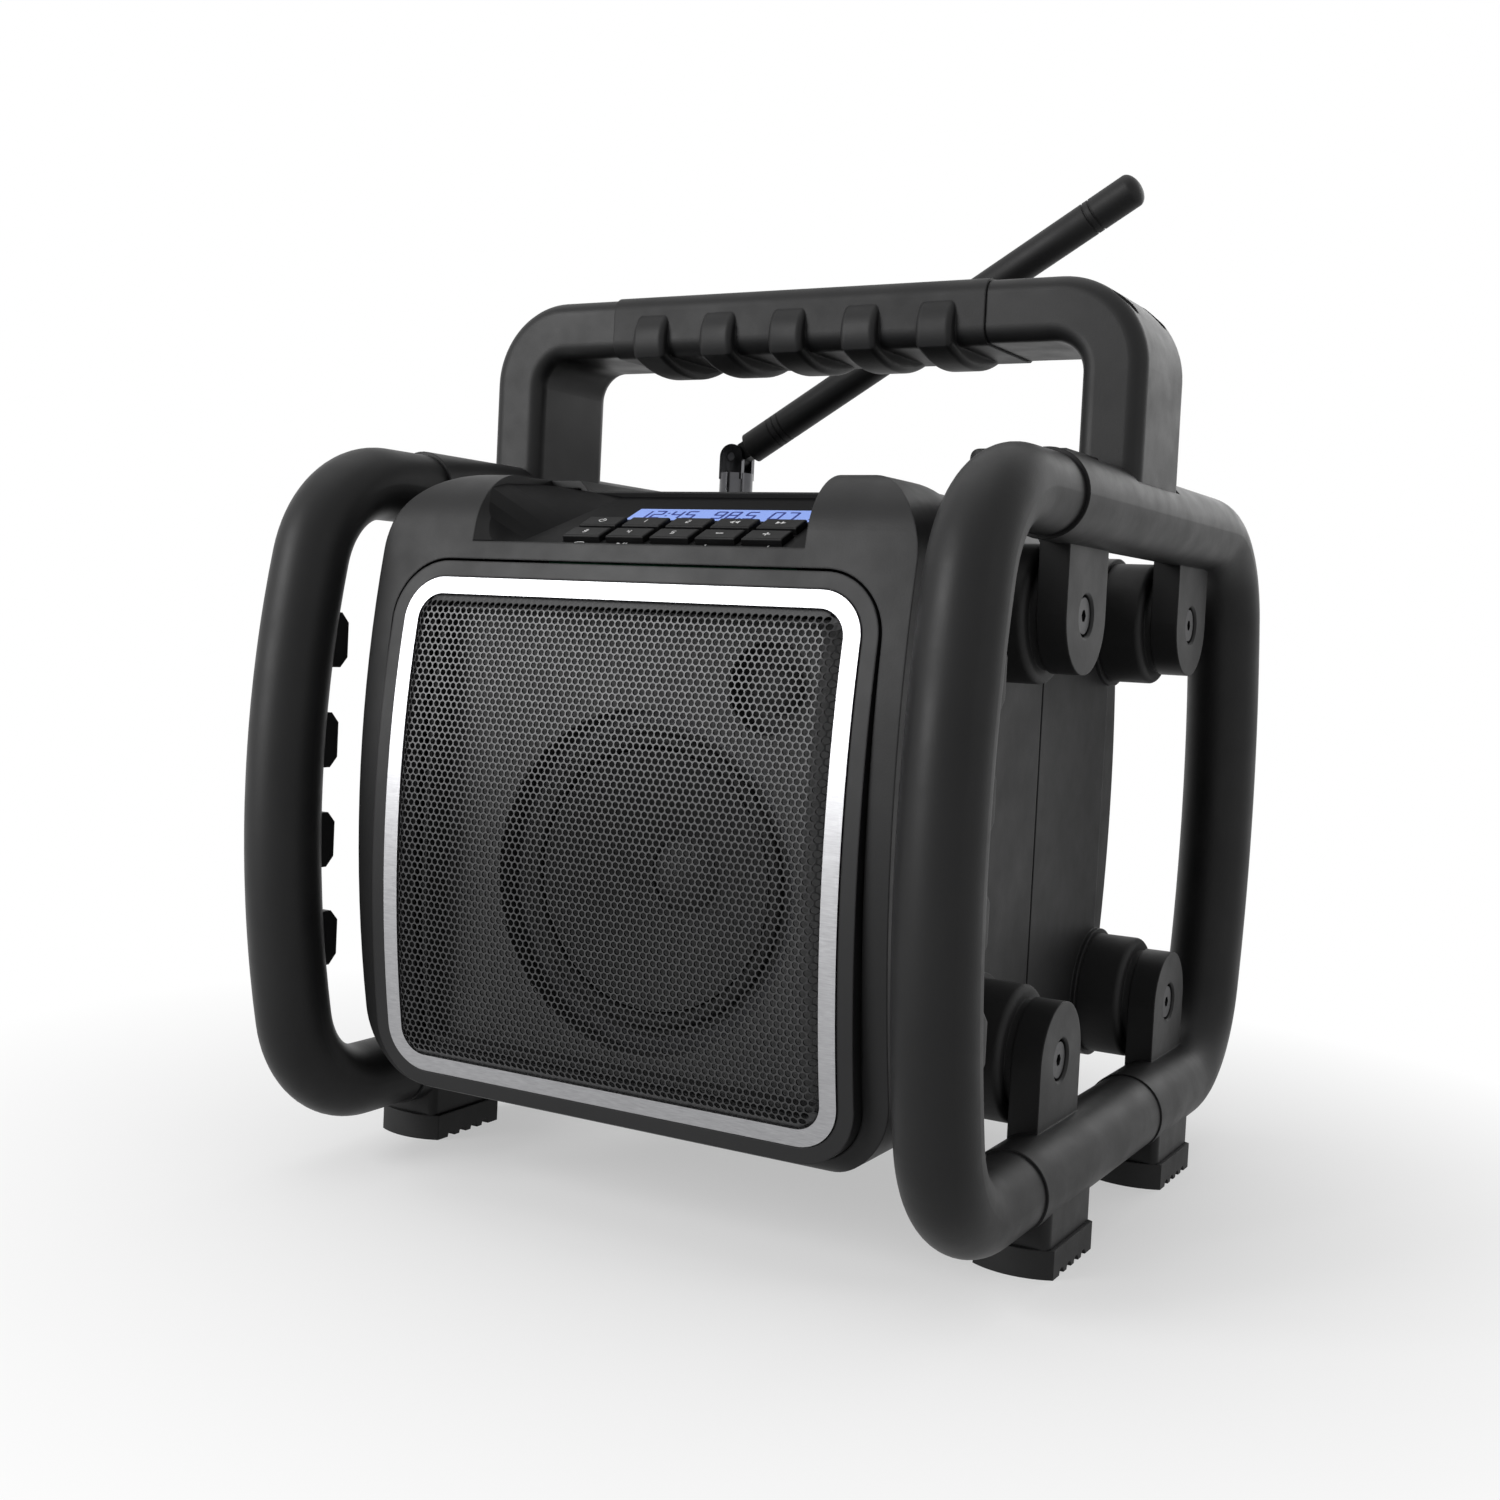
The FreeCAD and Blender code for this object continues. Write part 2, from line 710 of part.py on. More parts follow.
def foot_screws():
    screws = []
    for side in (-1, 1):
        for y0 in (foot_front_y, foot_rear_y):
            x = side * loop_half_gap
            y = y0 + foot_block_length / 2
            screw = rod_z(1.5, 4, x, y, foot_screw_head_r).fuse(
                rod_z(4, foot_height + foot_screw_reach, x, y, foot_screw_r))
            screw = screw.cut(hexagon_z(x, y, 1.4, 3.2, 4.0))
            screws.append(screw.removeSplitter())
    return group(screws)


def mount_centres():
    return [(y, z) for y in (mount_front_y, mount_rear_y) for z in (mount_top_z, mount_bottom_z)]


def dampers(side):
    """Four rubber mounts on one side: a drum with a short neck and a blind threaded hole."""
    rubbers = []
    inner = rear_half_width + stud_plate_thickness
    for y, z in mount_centres():
        drum_end = lug_inner_x - damper_neck_length
        drum = rod_x(side * inner, side * drum_end, y, z, damper_r)
        rim = [e for e in drum.Edges if abs(abs(e.CenterOfMass.x) - drum_end) < 0.01]
        body = drum.makeFillet(damper_edge_r, rim)
        body = body.fuse(rod_x(side * inner, side * lug_inner_x, y, z, damper_neck_r))
        hole = rod_x(side * (lug_inner_x - thread_depth), side * (lug_inner_x + 1), y, z, stud_r)
        rubbers.append(body.cut(hole).removeSplitter())
    return group(rubbers)


def mount_bolts():
    """Socket head bolts through the lugs into the rubber mounts."""
    bolts = []
    head_x = lug_outer_x - bolt_seat_depth
    for side in (-1, 1):
        for y, z in mount_centres():
            shank = rod_x(side * (lug_inner_x - thread_depth), side * head_x, y, z, stud_r)
            head = rod_x(side * head_x, side * (head_x + bolt_head_length - 1), y, z, bolt_head_r)
            x0 = side * (head_x + bolt_head_length - 4)
            socket = hexagon_x(x0, side * (head_x + bolt_head_length), y, z, hex_across)
            bolts.append(shank.fuse(head).cut(socket).removeSplitter())
    return group(bolts)


def mount_washers():
    rings = []
    x1 = lug_outer_x - bolt_seat_depth
    for side in (-1, 1):
        for y, z in mount_centres():
            ring = rod_x(side * (x1 - washer_thickness), side * x1, y, z, bolt_head_r + 0.7)
            rings.append(ring.cut(rod_x(side * (x1 - 3), side * (x1 + 1), y, z, stud_r)))
    return group(rings)


def mount_studs():
    """Steel plates with studs that join the rubber mounts to the casing's side bosses."""
    studs = []
    x = rear_half_width
    for side in (-1, 1):
        for y, z in mount_centres():
            disc = rod_x(side * x, side * (x + stud_plate_thickness), y, z, stud_plate_r)
            stud = rod_x(side * (x - side_boss_depth), side * x, y, z, stud_r)
            studs.append(disc.fuse(stud).removeSplitter())
    return group(studs)


# Casing shells

def front_casing():
    """Wide front shell with the window for the bezel and the recess for the control panel."""
    solid = casing_block(front_half_width, 0)
    block = solid.cut(casing_block(front_half_width, casing_wall))
    slope, flat = valley(0)
    floor_slope, floor_flat = valley(casing_wall)
    skin = solid.common(floor_slope.fuse(floor_flat)).cut(slope).cut(flat)
    keep = box(-200, 200, casing_front_y - 5, front_seam_y, 0, 300)
    shell = block.fuse(skin).cut(slope).cut(flat).common(keep)
    back_wall = casing_block(front_half_width, 1).common(
        box(-200, 200, front_seam_y - casing_wall, front_seam_y, 0, 300))
    hollow = casing_block(rear_half_width, casing_wall)
    shell = shell.fuse(back_wall.cut(hollow)).cut(slope).cut(flat)
    shell = shell.cut(window(bezel_width + bezel_gap, casing_front_y - 10, -100))
    shell = shell.cut(bezel_groove())
    shell = shell.cut(on_panel(panel_block(0.0)))
    return single(shell)


def window(grow, y0, y1):
    """The rounded opening of the front, grown from the metal frame's outline."""
    return plate(-frame_outer_half - grow, frame_outer_half + grow, frame_low_z - grow,
                 frame_high_z + grow, frame_corner_r + grow, y0, y1)


def bezel_groove():
    """The shadow gap cut round the bezel in the front face."""
    grow = bezel_width + bezel_gap
    ring = window(grow + bezel_clearance, casing_front_y - 10, casing_front_y + 40)
    ring = ring.cut(window(grow - 1, casing_front_y - 11, casing_front_y + 41))
    shallow = behind_front(casing_front_y + 2.4, front_face_r, 150)
    return ring.cut(shallow)


def panel_block(grow):
    """The space of the control panel's plate, in the panel's frame."""
    return box(-panel_half - grow, panel_half + grow, -grow, panel_length - 2,
               -panel_recess - panel_thickness - grow, 30)


def centre_casing():
    """Middle ring of the casing, with the front mount bosses and the screw posts."""
    ring = casing_block(rear_half_width, 0).cut(casing_block(rear_half_width, casing_wall))
    flat = valley(0)[1]
    skin = casing_block(rear_half_width, 0).common(valley(casing_wall)[1])
    keep = box(-200, 200, front_seam_y, rear_seam_y, 0, 300)
    ring = ring.fuse(skin).common(keep)
    for boss in side_bosses(mount_front_y) + posts(rear_seam_y - front_post_depth, rear_seam_y, screw_post_r):
        ring = ring.fuse(boss)
    ring = ring.cut(flat).cut(on_panel(panel_block(0.0)))
    for hole in stud_holes(mount_front_y) + posts(rear_seam_y - front_post_depth + 4, rear_seam_y + 1,
                                                  casing_screw_r):
        ring = ring.cut(hole)
    return single(ring)


def gasket_shape():
    start = rear_seam_y
    ring = casing_block(rear_half_width, 0.6).cut(casing_block(rear_half_width, casing_wall))
    slab = box(-200, 200, start, start + gasket_thickness, 0, 300)
    ring = ring.common(slab).cut(valley(0.6)[1])
    skin = casing_block(rear_half_width, 0.6).common(valley(casing_wall)[1]).common(slab)
    return single(ring.fuse(skin.cut(valley(0.6)[1])))


def rear_curve_y(z):
    return casing_rear_y - arc_depth(rear_face_r, z - (casing_bottom_z + casing_top_z) / 2)


def rear_casing():
    """Back shell with the rear mount bosses, the battery doorway and the socket recess."""
    start = rear_seam_y + gasket_thickness
    block = casing_block(rear_half_width, 0)
    for side in (-1, 1):
        block = block.cut(box(side * (rear_half_width - rear_step_depth), side * (rear_half_width + 5),
                              rear_step_y, casing_rear_y + 5, rear_step_low_z, rear_step_high_z))
    cup = block.cut(casing_block(rear_half_width, casing_wall))
    skin = block.common(valley(casing_wall)[1])
    keep = box(-200, 200, start, casing_rear_y + 60, 0, 300)
    cup = cup.fuse(skin).common(keep)
    for boss in side_bosses(mount_rear_y):
        cup = cup.fuse(boss)
    for post in posts(start, casing_rear_y - 4, screw_post_r):
        cup = cup.fuse(post.common(casing_block(rear_half_width, 1)))
    cup = cup.fuse(rod_z(antenna_socket_z - 40, antenna_socket_z - 8, antenna_x + 3, antenna_y - 4,
                         antenna_socket_r + 4).common(casing_block(rear_half_width, 0)))
    cup = cup.fuse(door_lugs())
    cup = cup.cut(valley(0)[1])
    for hole in stud_holes(mount_rear_y):
        cup = cup.cut(hole)
    for hole in posts(start - 1, casing_rear_y, casing_screw_r):
        cup = cup.cut(hole)
    for hole in posts(screw_head_y(), casing_rear_y + 5, casing_screw_head_r + 0.4):
        cup = cup.cut(hole)
    lower_gap = doorway(door_gap)
    lower_gap.translate(V(0, 0, -door_hinge_gap))
    cup = cup.cut(doorway(door_gap)).cut(lower_gap).cut(door_swing_room())
    axis = door_axis()
    cup = cup.cut(rod_x(-door_half + 6, door_half - 6, axis.y, axis.z, door_pin_r))
    cup = cup.cut(socket_recess())
    cup = cup.cut(antenna_socket_block())
    return single(cup)


def screw_head_y():
    return rear_curve_y(screw_post_high_z) - 8


def casing_screws():
    """Four long screws that close the rear casing against the middle ring."""
    tip = rear_seam_y - front_post_depth + 6
    screws = []
    for shank, head in zip(posts(tip, screw_head_y(), casing_screw_r),
                           posts(screw_head_y(), screw_head_y() + 3, casing_screw_head_r)):
        screw = shank.fuse(head)
        centre = head.CenterOfMass
        slot = box(centre.x - 3, centre.x + 3, centre.y, centre.y + 4, centre.z - 0.6, centre.z + 0.6)
        cross = box(centre.x - 0.6, centre.x + 0.6, centre.y, centre.y + 4, centre.z - 3, centre.z + 3)
        screws.append(screw.cut(slot).cut(cross).removeSplitter())
    return group(screws)


# Battery door, box and cells

def doorway(grow):
    return plate(-door_half - grow, door_half + grow, door_low_z - grow, door_high_z + grow,
                 6 + grow, rear_seam_y + 20, casing_rear_y + 10)


def door_axis():
    return V(0, rear_curve_y(door_low_z) - door_hinge_r + 1.2, door_low_z - door_hinge_r - 0.6)


def door_lugs():
    """Two hinge lugs on the rear casing, below the doorway."""
    axis = door_axis()
    lugs = None
    for side in (-1, 1):
        x0 = side * (door_half - 6)
        x1 = side * (door_half - 6 - door_lug_width)
        lug = rod_x(x0, x1, axis.y, axis.z, door_hinge_r).fuse(
            box(x0, x1, axis.y - 6, axis.y, axis.z - door_hinge_r, axis.z + door_hinge_r - 1))
        lugs = lug if lugs is None else lugs.fuse(lug)
    return lugs


def door_swing_room():
    """Clearance in the casing for the door's hinge barrel."""
    axis = door_axis()
    half = door_half - 6 - door_lug_width
    return rod_x(-half, half, axis.y, axis.z, door_hinge_r + 0.6).fuse(
        box(-half, half, axis.y - 3, axis.y + 8, axis.z, door_low_z + 1))


def battery_door():
    """Curved battery door with a hinge barrel along its lower edge and a latch pocket."""
    shell = casing_block(rear_half_width, 0).cut(casing_block(rear_half_width, casing_wall))
    door = single(shell.common(doorway(0)))
    axis = door_axis()
    half = door_half - 6 - door_lug_width - 0.4
    barrel = rod_x(-half, half, axis.y, axis.z, door_hinge_r)
    arm = box(-half, half, axis.y - 1.2, axis.y + 1.6, axis.z, door_low_z + 3)
    door = door.fuse(barrel).fuse(arm)
    door = door.cut(rod_x(-half - 1, half + 1, axis.y, axis.z, door_pin_r + slip_gap))
    pocket = box(-latch_half, latch_half, 60, 130, door_high_z - latch_length - latch_travel - 3,
                 door_high_z - 2)
    return single(door.cut(pocket))


def door_latch():
    """Sliding latch in the door's pocket, with finger ribs."""
    half = latch_half - 0.4
    z1 = door_high_z - 2.4
    z0 = z1 - latch_length
    band = casing_block(rear_half_width, -1.0).cut(casing_block(rear_half_width, 2.6))
    latch = single(band.common(box(-half, half, 60, 130, z0, z1)))
    for index in range(3):
        z = z0 + 3 + index * 3
        y = rear_curve_y(z) + 1
        latch = latch.cut(rod_x(-half + 2, half - 2, y, z, 0.7))
    return single(latch)


def hinge_pin():
    axis = door_axis()
    half = door_half - 6
    return rod_x(-half, half, axis.y, axis.z, door_pin_r)


def battery_box():
    """Open-backed box that holds the cells against the doorway."""
    x = cell_columns * (2 * cell_r + cell_gap) / 2 + cell_gap
    height = cell_rows * (2 * cell_r + cell_gap) + cell_gap
    mid = (door_low_z + door_high_z) / 2
    y1 = rear_curve_y(door_low_z) - casing_wall - 5.5
    y0 = y1 - cell_length - 6
    outer = box(-x - box_wall, x + box_wall, y0 - box_wall, y1, mid - height / 2 - box_wall,
                mid + height / 2 + box_wall)
    lip = box(-door_half - 8, door_half + 8, y1 - 2, y1, mid - height / 2 - 5, mid + height / 2 + 5)
    lip = lip.common(casing_block(rear_half_width, casing_wall))
    tray = outer.fuse(lip).cut(box(-x, x, y0, y1 + 5, mid - height / 2, mid + height / 2))
    for side in (-1, 1):
        for y in (y0 + 8, y1 - 12):
            tray = tray.fuse(rod_z(mid + height / 2 + box_wall, mid + height / 2 + box_wall + standoff_height,
                                   side * (main_board_half - 6), y, standoff_r))
    return single(tray), y0, y1, mid + height / 2 + box_wall


def battery_cells(y0):
    mid = (door_low_z + door_high_z) / 2
    cells = []
    pitch = 2 * cell_r + cell_gap
    for column in range(cell_columns):
        for row in range(cell_rows):
            x = (column - (cell_columns - 1) / 2) * pitch
            z = mid + (row - (cell_rows - 1) / 2) * pitch
            cell = rod_y(y0 + 3, y0 + 3 + cell_length, x, z, cell_r)
            nub = rod_y(y0 + 3 + cell_length, y0 + 4.5 + cell_length, x, z, 5.0)
            cells.append(cell.fuse(nub).removeSplitter())
    return group(cells)


def battery_contacts(y0):
    """Conical contact springs as flat stacked washers at the front wall of the box."""
    mid = (door_low_z + door_high_z) / 2
    pitch = 2 * cell_r + cell_gap
    contacts = []
    for column in range(cell_columns):
        for row in range(cell_rows):
            x = (column - (cell_columns - 1) / 2) * pitch
            z = mid + (row - (cell_rows - 1) / 2) * pitch
            base = rod_y(y0, y0 + 1, x, z, 9.0)
            cone = Part.makeCone(8.0, 4.5, 2.0, V(x, y0 + 1, z), V(0, 1, 0))
            contacts.append(base.fuse(cone).cut(rod_y(y0 + 1, y0 + 4, x, z, 3.5)).removeSplitter())
    return group(contacts)


def main_board(y0, y1, z):
    board = box(-main_board_half, main_board_half, y0 + 2, y1 - 6, z + standoff_height,
                z + standoff_height + board_thickness)
    top = z + standoff_height + board_thickness
    parts = [(-30, y0 + 20, 12, 12, 2), (5, y0 + 18, 16, 16, 2.4), (32, y0 + 22, 10, 14, 10),
             (-34, y0 + 44, 8, 8, 12), (8, y0 + 44, 20, 8, 14)]
    for x, y, sx, sy, height in parts:
        board = board.fuse(box(x, x + sx, y, y + sy, top, top + height))
    return single(board)


# Sockets on the back

def socket_recess():
    y = rear_curve_y(socket_z + socket_half_z)
    return plate(socket_x - socket_half_x, socket_x + socket_half_x, socket_z - socket_half_z,
                 socket_z + socket_half_z, socket_corner_r, y - 20, y + 10)


def socket_panel():
    """Inset plate with the power inlet and the round input jack."""
    y = rear_curve_y(socket_z + socket_half_z) - cover_thickness - 2.6
    base = plate(socket_x - socket_half_x, socket_x + socket_half_x, socket_z - socket_half_z,
                 socket_z + socket_half_z, socket_corner_r, y - socket_thickness, y)
    rim = base.fuse(plate(socket_x - socket_half_x, socket_x + socket_half_x, socket_z - socket_half_z,
                          socket_z + socket_half_z, socket_corner_r, y, y + 2.2).cut(
        plate(socket_x - socket_half_x + 1.5, socket_x + socket_half_x - 1.5,
              socket_z - socket_half_z + 1.5, socket_z + socket_half_z - 1.5, 2.5, y - 1, y + 4)))
    inlet = rod_y(y - 10, y, socket_x - 9, socket_z, inlet_r + 1.6)
    jack = rod_y(y - 10, y, socket_x + 9, socket_z, jack_r + 1.8)
    panel = rim.fuse(inlet).fuse(jack)
    panel = panel.cut(rod_y(y - 9, y + 1, socket_x - 9, socket_z, inlet_r))
    panel = panel.cut(rod_y(y - 9, y + 1, socket_x + 9, socket_z, jack_r))
    return single(panel.fuse(rod_y(y - 10, y - 1, socket_x - 9, socket_z, inlet_pin_r)))


def cover_axis():
    y = rear_curve_y(socket_z + socket_half_z) - 0.2
    return V(socket_x, y, socket_z + socket_half_z - 2.4)


def socket_cover():
    """Soft flap over the sockets, hinged along its top edge."""
    axis = cover_axis()
    x0 = socket_x - socket_half_x + socket_side_gap
    x1 = socket_x + socket_half_x - socket_side_gap
    flap = plate(x0, x1, socket_z - socket_half_z + 0.5, axis.z, 2.5, axis.y - cover_thickness / 2,
                 axis.y + cover_thickness / 2)
    flap = flap.fuse(rod_x(x0, x1, axis.y, axis.z, cover_hinge_r))
    for index in range(4):
        z = socket_z - socket_half_z + 3 + index * 2.0
        flap = flap.fuse(box(socket_x - 8, socket_x + 8, axis.y, axis.y + cover_thickness / 2 + 0.6,
                             z, z + 1.0))
    return single(flap)


# Front: bezel, metal frame, mesh, baffle and speakers

def front_bezel():
    """Grey ring round the metal frame, standing proud of the casing."""
    ring = window(bezel_width, casing_front_y - 20, casing_front_y + bezel_depth + 20)
    ring = ring.cut(window(0, casing_front_y - 21, casing_front_y + 60))
    inner = window(0, casing_front_y - 21, casing_front_y + 60).cut(
        window(-frame_band - 3, casing_front_y - 22, casing_front_y + 61))
    lip = inner.common(behind_front(casing_front_y - frame_proud + frame_depth, front_face_r, 150))
    ring = ring.fuse(lip).common(behind_front(casing_front_y - bezel_proud, front_face_r, 150))
    ring = ring.cut(behind_front(casing_front_y - bezel_proud + bezel_depth, front_face_r + 40, 160))
    return single(ring)


def grille_frame():
    """Brushed metal frame that holds the mesh in the bezel."""
    ring = window(-0.3, casing_front_y - 20, casing_front_y + 40)
    ring = ring.cut(window(-frame_band, casing_front_y - 21, casing_front_y + 41))
    ring = ring.common(behind_front(casing_front_y - frame_proud, front_face_r, 150))
    return single(ring.cut(behind_front(casing_front_y - frame_proud + frame_depth, front_face_r, 160)))


def mesh_pillow(offset):
    """The mesh's pillow: a plateau with sloping sides, set back by an offset."""
    outline = -frame_band - 0.2 - offset
    back_y = casing_front_y + 30
    tip_y = casing_front_y - mesh_proud - 6
    knee_y = casing_front_y - frame_proud + 1.5 + offset
    straight = window(outline, knee_y, back_y)
    lower = round_rect(-frame_outer_half - outline, frame_outer_half + outline, frame_low_z - outline,
                       frame_high_z + outline, frame_corner_r + outline, knee_y)
    slope = mesh_slope * 2.2
    upper = round_rect(-frame_outer_half - outline + slope, frame_outer_half + outline - slope,
                       frame_low_z - outline + slope, frame_high_z + outline - slope,
                       max(frame_corner_r + outline - slope, 1.5), tip_y)
    cap = Part.makeLoft([lower, upper], True, True)
    return straight.fuse(cap).common(behind_front(casing_front_y - mesh_proud + offset, front_face_r, 150))


def grille_mesh():
    """Metal grille: a raised plateau with a coarse staggered hole pattern."""
    back = behind_front(casing_front_y - frame_proud + frame_depth, front_face_r, 160)
    sheet = mesh_pillow(0).cut(mesh_pillow(mesh_thickness)).cut(back)
    row_pitch = mesh_hole_pitch * math.sqrt(3) / 2
    half_x = frame_outer_half - frame_band - mesh_slope - 4
    low = frame_low_z + frame_band + mesh_slope + 4
    high = frame_high_z - frame_band - mesh_slope - 4
    rows = int((high - low) / row_pitch)
    columns = int(2 * half_x / mesh_hole_pitch)
    holes = []
    for row in range(rows + 1):
        z = (low + high) / 2 + (row - rows / 2) * row_pitch
        count = columns if row % 2 == 0 else columns - 1
        for column in range(count):
            x = (column - (count - 1) / 2) * mesh_hole_pitch
            holes.append(rod_y(casing_front_y - 20, casing_front_y + 20, x, z, mesh_hole_r))
    print("grille holes", len(holes))
    return single(sheet.cut(Part.makeCompound(holes)))


def baffle_y():
    return casing_front_y + baffle_setback


def speaker_baffle():
    """Board behind the grille that carries both speakers."""
    y0 = baffle_y()
    board = window(-frame_band - 3.5, y0, y0 + baffle_thickness)
    board = board.cut(rod_y(y0 - 1, y0 + 20, woofer_x, woofer_z, woofer_r - 4))
    board = board.cut(rod_y(y0 - 1, y0 + 20, tweeter_x, tweeter_z, tweeter_r - 4))
    return board


def baffle_flange():
    """A ring behind the baffle that joins it to the front casing's back wall."""
    y0 = baffle_y()
    outer = window(-frame_band - 3.5, y0 + baffle_thickness, front_seam_y - casing_wall)
    inner = window(-frame_band - 5.5, y0 + baffle_thickness - 1, front_seam_y)
    return outer.cut(inner)


def whole_baffle():
    skirt = baffle_flange()
    face = speaker_baffle()
    edge = window(-frame_band - 3.5, casing_front_y, baffle_y() + 1).cut(
        window(-frame_band - 5.5, casing_front_y - 1, baffle_y() + 1))
    seat = casing_front_y - bezel_proud + bezel_depth
    edge = edge.common(behind_front(seat, front_face_r + 40, 160))
    return single(face.fuse(skirt).fuse(edge))


def revolve_y(points, x, z):
    """Turn an outline of (radius, y) points round a Y axis at x, z."""
    wire = Part.makePolygon([V(x + r, y, z) for r, y in points + points[:1]])
    return Part.Face(wire).revolve(V(x, 0, z), V(0, 1, 0), 360)


def woofer_basket():
    """Pressed basket: front ring, sloping cage and the plate that carries the magnet."""
    y0 = baffle_y() + baffle_thickness
    t = 1.6
    rear = y0 + woofer_depth - magnet_height
    points = [(woofer_r, y0), (woofer_r, y0 + t), (woofer_cone_r + 5, y0 + t), (magnet_r, rear),
              (magnet_r, rear + t), (coil_r + 2, rear + t), (coil_r + 2, rear), (magnet_r - t, rear),
              (woofer_cone_r + 3.4, y0 + t), (woofer_cone_r + 3.4, y0)]
    basket = revolve_y(points, woofer_x, woofer_z)
    for index in range(6):
        angle = math.radians(60 * index + 30)
        x = woofer_x + 46 * math.cos(angle)
        z = woofer_z + 46 * math.sin(angle)
        basket = basket.cut(rod_y(y0 + t + 3, rear - 2, x, z, 10))
    return single(basket)


def woofer_surround():
    """Rubber roll between the basket's ring and the cone's edge."""
    y0 = baffle_y() + baffle_thickness
    inner = woofer_cone_r - 5
    outer = woofer_cone_r + 3.4
    land = woofer_cone_r + 0.2
    flat = revolve_y([(outer, y0), (outer, y0 + 1.6), (land, y0 + 1.6), (land, y0)], woofer_x, woofer_z)
    mid = (inner + woofer_cone_r + 1) / 2
    half = (woofer_cone_r + 1 - inner) / 2
    roll = Part.makeTorus(mid, half, V(woofer_x, y0 + 0.8, woofer_z), V(0, 1, 0))
    roll = roll.cut(Part.makeTorus(mid, half - 0.9, V(woofer_x, y0 + 0.8, woofer_z), V(0, 1, 0)))
    roll = roll.common(rod_y(y0 - 12, y0 + 0.8, woofer_x, woofer_z, woofer_r))
    return single(flat.fuse(roll))


def woofer_cone():
    """Cone with its voice coil and dust cap."""
    y0 = baffle_y() + baffle_thickness
    edge = woofer_cone_r - 5 - running_gap
    deep = y0 + woofer_depth - magnet_height - woofer_travel - 6
    cone = revolve_y([(edge, y0), (edge, y0 + 0.8), (coil_r, deep + 0.8), (coil_r, deep + 12),
                      (coil_r - 0.8, deep + 12), (coil_r - 0.8, deep)], woofer_x, woofer_z)
    cap_r = 22.0
    centre_y = deep - 4 + cap_r
    cap = Part.makeSphere(cap_r, V(woofer_x, centre_y, woofer_z))
    cap = cap.cut(Part.makeSphere(cap_r - 0.8, V(woofer_x, centre_y, woofer_z)))
    cap = cap.common(rod_y(deep - 10, deep + 1.2, woofer_x, woofer_z, coil_r + 2))
    return single(cone.fuse(cap))


def woofer_magnet():
    y0 = baffle_y() + baffle_thickness + woofer_depth - magnet_height + 1.6
    body = rod_y(y0, y0 + magnet_height, woofer_x, woofer_z, magnet_r)
    slot = rod_y(y0 - 1, y0 + 10, woofer_x, woofer_z, coil_r + 1.2).cut(
        rod_y(y0 - 2, y0 + 11, woofer_x, woofer_z, coil_r - 2.0))
    return single(body.cut(slot))


def tweeter():
    """Small dome speaker on the baffle."""
    y0 = baffle_y() + baffle_thickness
    flange = rod_y(y0, y0 + 2, tweeter_x, tweeter_z, tweeter_r)
    motor = rod_y(y0 + 2, y0 + tweeter_depth, tweeter_x, tweeter_z, tweeter_r - 5)
    dome = Part.makeSphere(11, V(tweeter_x, y0 + 6, tweeter_z)).common(
        rod_y(y0 - 10, y0, tweeter_x, tweeter_z, 11))
    return single(flange.fuse(motor).fuse(dome))


# Control panel

def button_places():
    return [(button_first_x + column * button_pitch, button_front_row + row * button_row_pitch)
            for row in range(2) for column in range(button_columns)]


def casing_above_panel(v):
    """How high the casing's rounded front shoulder stands over the panel, up its slope."""
    slope = math.radians(panel_slope)
    y = panel_front_y + v * math.cos(slope)
    face_y = casing_front_y + arc_depth(front_face_r, panel_front_z - (casing_bottom_z + casing_top_z) / 2)
    centre_y = face_y + top_front_r
    back = max(0.0, centre_y - y)
    drop = top_front_r - math.sqrt(max(0.0, top_front_r ** 2 - back ** 2))
    return (casing_top_z - drop - panel_front_z - v * math.sin(slope)) * math.cos(slope)


def control_panel():
    """Black panel in the sloping recess, with ten button holes and a display window."""
    top = -panel_recess
    base = box(-panel_half, panel_half, 0, panel_length - 2, top - panel_thickness, top)
    rear = panel_length - 2
    sections = []
    for share in scoop_sections:
        v = share * rear
        crease = scoop_front_x + (scoop_rear_x - scoop_front_x) * share
        high = top + max(0.1, casing_above_panel(v))
        sections.append(Part.makePolygon([V(-panel_half, v, top - 1), V(crease, v, top - 1), V(crease, v, top),
                                          V(-panel_half, v, high), V(-panel_half, v, top - 1)]))
    panel = base.fuse(Part.makeLoft(sections, True, True))
    for x, v in button_places():
        panel = panel.cut(box(x - button_width / 2 - button_gap, x + button_width / 2 + button_gap,
                              v - button_length / 2 - button_gap, v + button_length / 2 + button_gap,
                              top - 10, top + 20))
    panel = panel.cut(box(display_left, display_right, display_front, display_front + display_length,
                          top - display_thickness, top + 20))
    panel = panel.cut(box(display_left + 2, display_right - 2, display_front + 1.5,
                          display_front + display_length - 1.5, top - 10, top + 1))
    return single(on_panel(panel).common(casing_block(front_half_width, 0.0)))


def display_lens():
    top = -panel_recess
    lens = box(display_left, display_right, display_front, display_front + display_length,
               top - display_thickness, top)
    return on_panel(lens)


def display_module():
    top = -panel_recess - panel_thickness
    module = box(display_left - 2, display_right - 4, display_front - 0.2, display_front + display_length - 0.5,
                 top - module_thickness, top)
    face = box(display_left + 2.2, display_right - 4.2, display_front + 1.7,
               display_front + display_length - 1.7, top, top + panel_thickness - display_thickness)
    return single(on_panel(module.fuse(face)))


